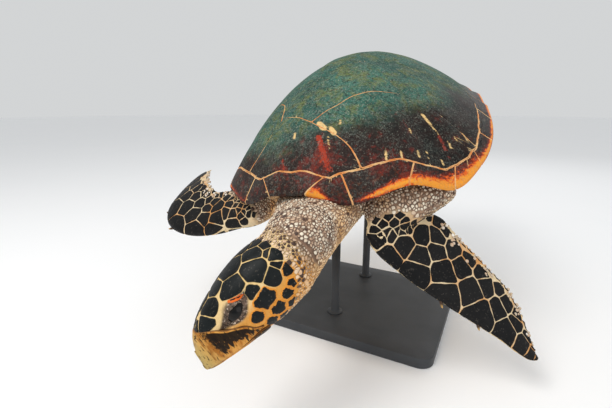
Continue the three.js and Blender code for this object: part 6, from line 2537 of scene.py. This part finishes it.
@dataclass(frozen=True)
class GranuleHorn(Finish):
    """Small beads: whitish-pink tops, partly their own colour and partly painted highlight, brown-grey toward
    their feet, partly painted shade in the gaps, orange where the skin is warm.
    """

    spots: float = 1.0
    patches: float = 0.6
    # crown: pale top, partly the bead's own colour and partly painted highlight; foot: darker base, partly
    # painted shade in the gaps between beads
    crown: tuple[float, ...] = tint(236, 224, 202)
    foot: tuple[float, ...] = tint(92, 74, 62)

    def colour(self, w: Wiring) -> tuple[Given, Given, Given]:
        """Pale tops over darker feet, each bead with its own tone; the tops carry painted highlight and the
        feet painted shade.

        Args:
            w: the material's wiring.

        Returns:
            the colour, the roughness and the height in millimetres.
        """
        tone, edge, warm, below, head = (w.value(n) for n in ("tone", "edge", "warm", "under", "head"))
        top = w.mix(w.step(0.2, 0.8, tone), tint(204, 172, 144), self.crown)
        top = w.mix(w.step(0.15, 0.8, warm) * 0.8, top, tint(236, 184, 116))
        top = w.mix(head * 0.5, top, tint(226, 178, 130))
        spotted = head * 0.22 + 0.14
        spot = w.step(spotted, spotted - 0.08, tone) * self.spots
        top = w.mix(spot, top, tint(72, 55, 48))
        top = w.mix(below * 0.5, top, tint(230, 202, 158))
        patch = w.step(0.5, 0.64, w.noise(24, 5, 0.66)) * self.patches
        top = w.mix(patch, top, tint(112, 84, 68))
        foot = w.mix(warm, self.foot, tint(190, 134, 76))
        # painted highlight and shade: the colour goes from the pale top down to the dark foot at each bead's
        # border
        colour = w.mix(w.step(0.1, 0.95, edge), foot, top)
        return colour, tone * 0.2 + self.roughness - 0.1, w.noise(1.1, 3) * 0.5


@dataclass(frozen=True)
class SkinHide(Finish):
    """Bare skin between the scales: pale on the flippers and head, brown-grey in the folds."""

    def colour(self, w: Wiring) -> tuple[Given, Given, Given]:
        """Brown-grey skin, paler by region, with wrinkled lids: painted shade in the wrinkle hollows, and
        whitish flecks that are partly pale skin and partly painted highlight.

        Args:
            w: the material's wiring.

        Returns:
            the colour, the roughness and the height in millimetres.
        """
        head, blade, below = w.value("head"), w.value("blade"), w.value("under")
        lid, cheek, brow = w.value("lid"), w.value("cheek"), w.value("brow")
        cloud = w.noise(15, 5, 0.65)
        colour = w.mix(w.step(0.35, 0.68, cloud), tint(112, 90, 76), tint(164, 132, 108))
        colour = w.mix(below, colour, tint(196, 160, 116))
        pale = w.mix(w.step(0.4, 0.64, w.noise(48, 3)), tint(226, 204, 166), tint(212, 154, 92))
        colour = w.mix(blade, colour, pale)
        face = w.mix(cheek, tint(228, 196, 140), tint(222, 156, 70))
        colour = w.mix(head, colour, face)
        wrinkle = w.noise(3.0, 4, 0.65, 0.8)
        # painted shade: near-black in the hollows of the wrinkles round the eye, where the bump is low, on dark
        # brown lid skin
        lids = w.mix(w.step(0.42, 0.6, wrinkle), tint(20, 17, 17), tint(98, 78, 68))
        # whitish flecks on the lids: partly pale skin, partly painted highlight on the wet lids
        lids = w.mix(w.step(0.55, 0.66, w.noise(3.6, 5, 0.75)), lids, tint(226, 204, 184))
        colour = w.mix(lid * 0.97, colour, lids)
        colour = w.mix(brow * w.step(0.36, 0.5, wrinkle), colour, tint(226, 104, 24))
        height = wrinkle * 0.9 + w.cells(2.0, "DISTANCE_TO_EDGE") * 1.6
        return colour, cloud * 0.2 + self.roughness - 0.1, height


@dataclass(frozen=True)
class BillHorn(Finish):
    """The bill: amber horn, greenish cream at the tip, with a ragged dark patch high on its side."""

    def colour(self, w: Wiring) -> tuple[Given, Given, Given]:
        """Amber to cream along its length, streaked dark in its upper half and dark on the far side.

        Args:
            w: the material's wiring.

        Returns:
            the colour, the roughness and the height in millimetres.
        """
        back, high, across = w.value("hs"), w.value("hz"), w.value("hx")
        lane = w.joined(back * 0.15, high * 0.035, across * 0.02)
        fibre = w.noise(1000 / 1.6, 5, 0.5, place=lane)
        amber = w.mix(w.step(0.36, 0.64, fibre), tint(170, 104, 34), tint(218, 158, 76))
        tip = w.step(34, 6, back + w.noise(12, 3) * 10.0)
        cream = w.mix(w.step(0.5, 0.38, fibre), tint(182, 160, 98), tint(112, 92, 48))
        colour = w.mix(tip * 0.85, amber, cream)
        sway = fibre * 46.0 - 23.0
        tongue = w.step(38, 30, back) * w.step(16, 24, back)
        above = w.step(-1.5, 1.5, high + back * 0.3 + 4.0 + tongue * 7.0 + sway)
        front = w.step(22, 27, back + w.noise(7, 4, 0.65) * 18.0 - 9.0)
        rim_line = w.step(1.6, 3.0, w.value("edge") + w.step(30, 24, back) * 4.0)
        dark = above * front * rim_line
        far = w.step(-3.0, -9.0, across + w.noise(14, 4) * 14.0 - 7.0) * w.step(-26, -16, high)
        dark = w.math("MAXIMUM", dark, far * front)
        jaw = w.step(48, 66, back + sway) * w.step(-29.0, -31.5, high)
        dark = w.math("MAXIMUM", dark, jaw * w.step(-42, -37, high))
        threads = w.noise(1000 / 4.2, 4, 0.5, place=lane)
        thin = w.step(0.58, 0.63, threads) * w.step(-30, -20, high)
        colour = w.mix(thin * 0.8, colour, tint(44, 34, 20))
        dark = dark * (1.0 - w.step(0.36, 0.3, threads) * 0.75)
        colour = w.mix(dark * 0.97, colour, tint(11, 10, 10))
        # painted shade: the nostril pits are painted near-black for the shade inside the openings
        colour = w.mix(w.value("pit"), colour, tint(14, 12, 12))
        colour = w.mix(w.step(1.2, 0.2, w.value("edge")), colour, tint(120, 84, 50))
        return colour, fibre * 0.2 + self.roughness - 0.1, fibre * 1.2 + w.noise(2.0, 4) * 0.4


@dataclass(frozen=True)
class EyeGloss(Finish):
    """A dark wet eye: black pupil, deep brown iris, dusky white beyond."""

    def colour(self, w: Wiring) -> tuple[Given, Given, Given]:
        """Rings by the angle from the line of sight.

        Args:
            w: the material's wiring.

        Returns:
            the colour, the roughness and the height in millimetres.
        """
        gaze = w.value("gaze")
        fibres = w.noise(2.2, 4, 0.7)
        colour = w.mix(w.step(0.35, 0.7, fibres), tint(9, 8, 7), tint(26, 18, 14))
        colour = w.mix(w.step(13, 10, gaze), colour, tint(5, 5, 6))
        colour = w.mix(w.step(37, 43, gaze), colour, tint(14, 11, 11))
        return colour, fibres * 0.06 + self.roughness, fibres


@dataclass(frozen=True)
class ClawHorn(Finish):
    """Claws: brown at the root, amber toward the worn tip."""

    def colour(self, w: Wiring) -> tuple[Given, Given, Given]:
        """Colour along the claw, lightly striped.

        Args:
            w: the material's wiring.

        Returns:
            the colour, the roughness and the height in millimetres.
        """
        stripes = w.noise(2.5, 3)
        tip = w.value("tip") + stripes * 0.3 - 0.15
        colour = w.mix(w.step(0.45, 0.95, tip), tint(66, 48, 34), tint(196, 156, 92))
        return colour, stripes * 0.15 + self.roughness, stripes


@dataclass(frozen=True)
class StandPaint(Finish):
    """Satin graphite paint with a fine grain."""

    def colour(self, w: Wiring) -> tuple[Given, Given, Given]:
        """Nearly even grey with faint wear.

        Args:
            w: the material's wiring.

        Returns:
            the colour, the roughness and the height in millimetres.
        """
        grain = w.noise(1.2, 3, 0.6)
        colour = w.mix(w.step(0.3, 0.7, w.noise(60, 3)), tint(58, 60, 63), tint(66, 68, 71))
        return colour, grain * 0.12 + self.roughness, grain


# ---- studio and assembly -----------------------------------------------------------------------


@dataclass
class Studio:
    """A plain pale floor, soft lamps and the camera."""

    camera_at: Spot = (0.2831, -0.7636, 0.4546)
    azimuth: float = 27.6
    elevation: float = 15.0
    lens: float = 22.35
    # radii of the floor's rings and its height, in millimetres
    floor_radii: tuple[float, ...] = (200.0, 800.0, 3000.0, 14000.0)
    floor_z: float = -0.4
    floor_around: int = 96
    # name, place, aimed at, side length, power, colour
    lamps: tuple[tuple[str, Spot, Spot, float, float, Spot], ...] = (
        ("key", (-0.5, -1.5, 2.2), (0.0, -0.1, 0.35), 1.1, 31.0, (1.0, 0.97, 0.93)),
        ("fill", (2.1, -1.3, 1.1), (0.1, -0.1, 0.3), 1.6, 9.0, (0.96, 0.98, 1.0)),
        ("back", (0.4, 2.2, 1.9), (0.0, 0.1, 0.45), 1.4, 8.0, (1.0, 1.0, 1.0)),
    )

    @staticmethod
    def facing(place: Array, aim: Array) -> Matrix:
        """A placing that looks from one point to another with its top upward.

        Args:
            place: where it stands.
            aim: what it looks at.

        Returns:
            the object's matrix.
        """
        back = unit(np.asarray(place, float) - np.asarray(aim, float))
        right = unit(np.cross([0, 0, 1.0], back))
        up = np.cross(back, right)
        rows = [[*column, at] for column, at in zip(np.stack([right, up, back], 1).tolist(), place)]
        return Matrix([*rows, [0, 0, 0, 1]])

    def floor(self) -> None:
        """A broad round of pale paper under the stand."""
        count, middle = self.floor_around, [0, 0, self.floor_z]
        angle = np.arange(count) * 2 * np.pi / count
        circle = np.stack([np.cos(angle), np.sin(angle), 0 * angle], -1)
        rings = circle * np.array(self.floor_radii)[:, None, None] + middle
        points = np.concatenate([rings.reshape(-1, 3), [middle]])
        quads = Weave.quads(len(rings), count)
        shape = Shape(points, quads, Weave.fan(np.arange(count)[::-1], len(points) - 1))
        paper = bpy.data.materials.new("Pale paper")
        paper.use_nodes = True
        w = Wiring(paper.node_tree)
        shader = paper.node_tree.nodes["Principled BSDF"]
        w.feed(shader.inputs["Base Color"], w.mix(w.noise(400, 2), tint(248, 249, 250), tint(251, 251, 252)))
        shader.inputs["Roughness"].default_value = 0.9
        shape.make("floor", paper, FLOOR)

    def light(self) -> None:
        """Lamps and an even pale surround."""
        for name, place, aim, side, watts, hue in self.lamps:
            lamp = bpy.data.lights.new(name, "AREA")
            lamp.shape, lamp.size, lamp.energy, lamp.color = "SQUARE", side, watts, hue
            enter(name, lamp).matrix_world = self.facing(place, aim)
        world = bpy.data.worlds.new("surround")
        world.use_nodes = True
        backdrop = world.node_tree.nodes["Background"]
        backdrop.inputs["Color"].default_value = tint(238, 240, 241)
        backdrop.inputs["Strength"].default_value = 0.76
        bpy.context.scene.world = world

    def camera(self) -> None:
        """The camera at the chosen place, level."""
        a, e = math.radians(self.azimuth), math.radians(self.elevation)
        back = np.array([math.sin(a) * math.cos(e), -math.cos(a) * math.cos(e), math.sin(e)])
        place = np.array(self.camera_at)
        lens = bpy.data.cameras.new("camera")
        lens.lens, lens.sensor_width, lens.clip_start, lens.clip_end = self.lens, 36.0, 0.02, 60.0
        holder = enter("camera", lens)
        holder.matrix_world = self.facing(place, place - back)
        bpy.context.scene.camera = holder

    def build(self) -> None:
        """Floor, lamps and camera."""
        self.floor()
        self.light()
        self.camera()
        bpy.context.scene.view_settings.view_transform = "Standard"


def scales(body: Body, skin: bpy.types.Object) -> None:
    """All the scales on the skin: shields, flipper scales and beads.

    Args:
        body: the flesh.
        skin: its skin, which the scales lie on.
    """
    shield = ScaleHorn("Head shields", roughness=0.42, relief=0.35, gloss=0.16, dark=tint(10, 13, 14),
                       dark_other=tint(18, 23, 24), pale=tint(230, 200, 134), pale_other=tint(222, 144, 50),
                       margin=0.25, head=True).make()
    plate = ScaleHorn("Flipper scales", roughness=0.5, relief=0.35, gloss=0.14, margin=0.2).make()
    # beads and white beads carry painted highlight on their tops and painted shade at their feet
    bead = GranuleHorn("Beads", roughness=0.55, relief=0.3).make()
    pearl = GranuleHorn("White beads", roughness=0.45, relief=0.2, spots=0.0, patches=0.0,
                        crown=tint(246, 242, 232), foot=tint(204, 188, 166)).make()
    edges, inner = (0.0, 0.3, 0.75, 1.4, 2.3), (0.82, 0.6, 0.36, 0.1)
    shields = ScaleCoat("head_shields", shield, 64, edges, inner, gap=0.6, rise=0.9, shoulder=2.4,
                        crispness=26.0, waver=0.02, crowding=0.3)
    shields.lay(HeadShields(body).seeds(), body, skin)
    makers = FlipperScales(body)
    for part in body.flippers:
        plates = ScaleCoat(f"scales_{part}", plate, 48, edges, (0.78, 0.5, 0.25, 0.08), gap=1.3, rise=0.9,
                           shoulder=2.0, tilt=0.08, crispness=30.0, waver=0.02, widest=2.4, crowding=0.3,
                           settle=6.5, neighbours=90)
        plates.lay(makers.seeds(part), body, skin)
        if part.startswith("front"):
            pearls = ScaleCoat(f"pearls_{part}", pearl, 10, (0.0, 0.5), (0.5,), gap=0.3, rise=3.0,
                                 shoulder=1.4, widest=1.2)
            pearls.lay(makers.strewn(part), body, skin, bend=False)
    for part, seeds in Granules(body).seeds().items():
        coat = ScaleCoat(f"beads_{part}", bead, 8, (0.0, 0.55), (0.45,), gap=0.45, rise=1.1, shoulder=1.5,
                         tilt=0.3, crispness=9.0, waver=0.1, sunk=0.5, widest=2.0, crowding=0.6, settle=7.0)
        coat.lay(seeds, body, skin, bend=False)


def main() -> None:
    """Builds the animal, its stand and the studio."""
    logging.basicConfig(level=logging.INFO, format="%(message)s")
    shell = ShellForm()
    net = SeamNet(shell)
    BackPlates(net, ShellHorn("Carapace horn", roughness=0.55, relief=0.4, gloss=0.12).make()).build()
    RimPlates(net, ShellHorn("Rim horn", roughness=0.5, relief=0.4, gloss=0.14, rim=True).make()).build()
    body = Body(shell)
    Belly(body.trunk, BellyHorn("Belly horn", roughness=0.4, relief=0.4).make()).build()
    skin = body.skin(SkinHide("Hide", roughness=0.6, relief=0.6).make())
    scales(body, skin)
    Beak(body.head, BillHorn("Bill horn", roughness=0.45, relief=0.4, gloss=0.1).make()).build()
    Eyes(body.head, EyeGloss("Eye", roughness=0.12, relief=0.05, gloss=0.22).make()).build()
    Claws(body, ClawHorn("Claw", roughness=0.4, relief=0.2).make()).build()
    Stand(body.trunk, StandPaint("Stand paint", roughness=0.42, relief=0.1).make()).build()
    Studio().build()


if __name__ == "__main__":
    main()
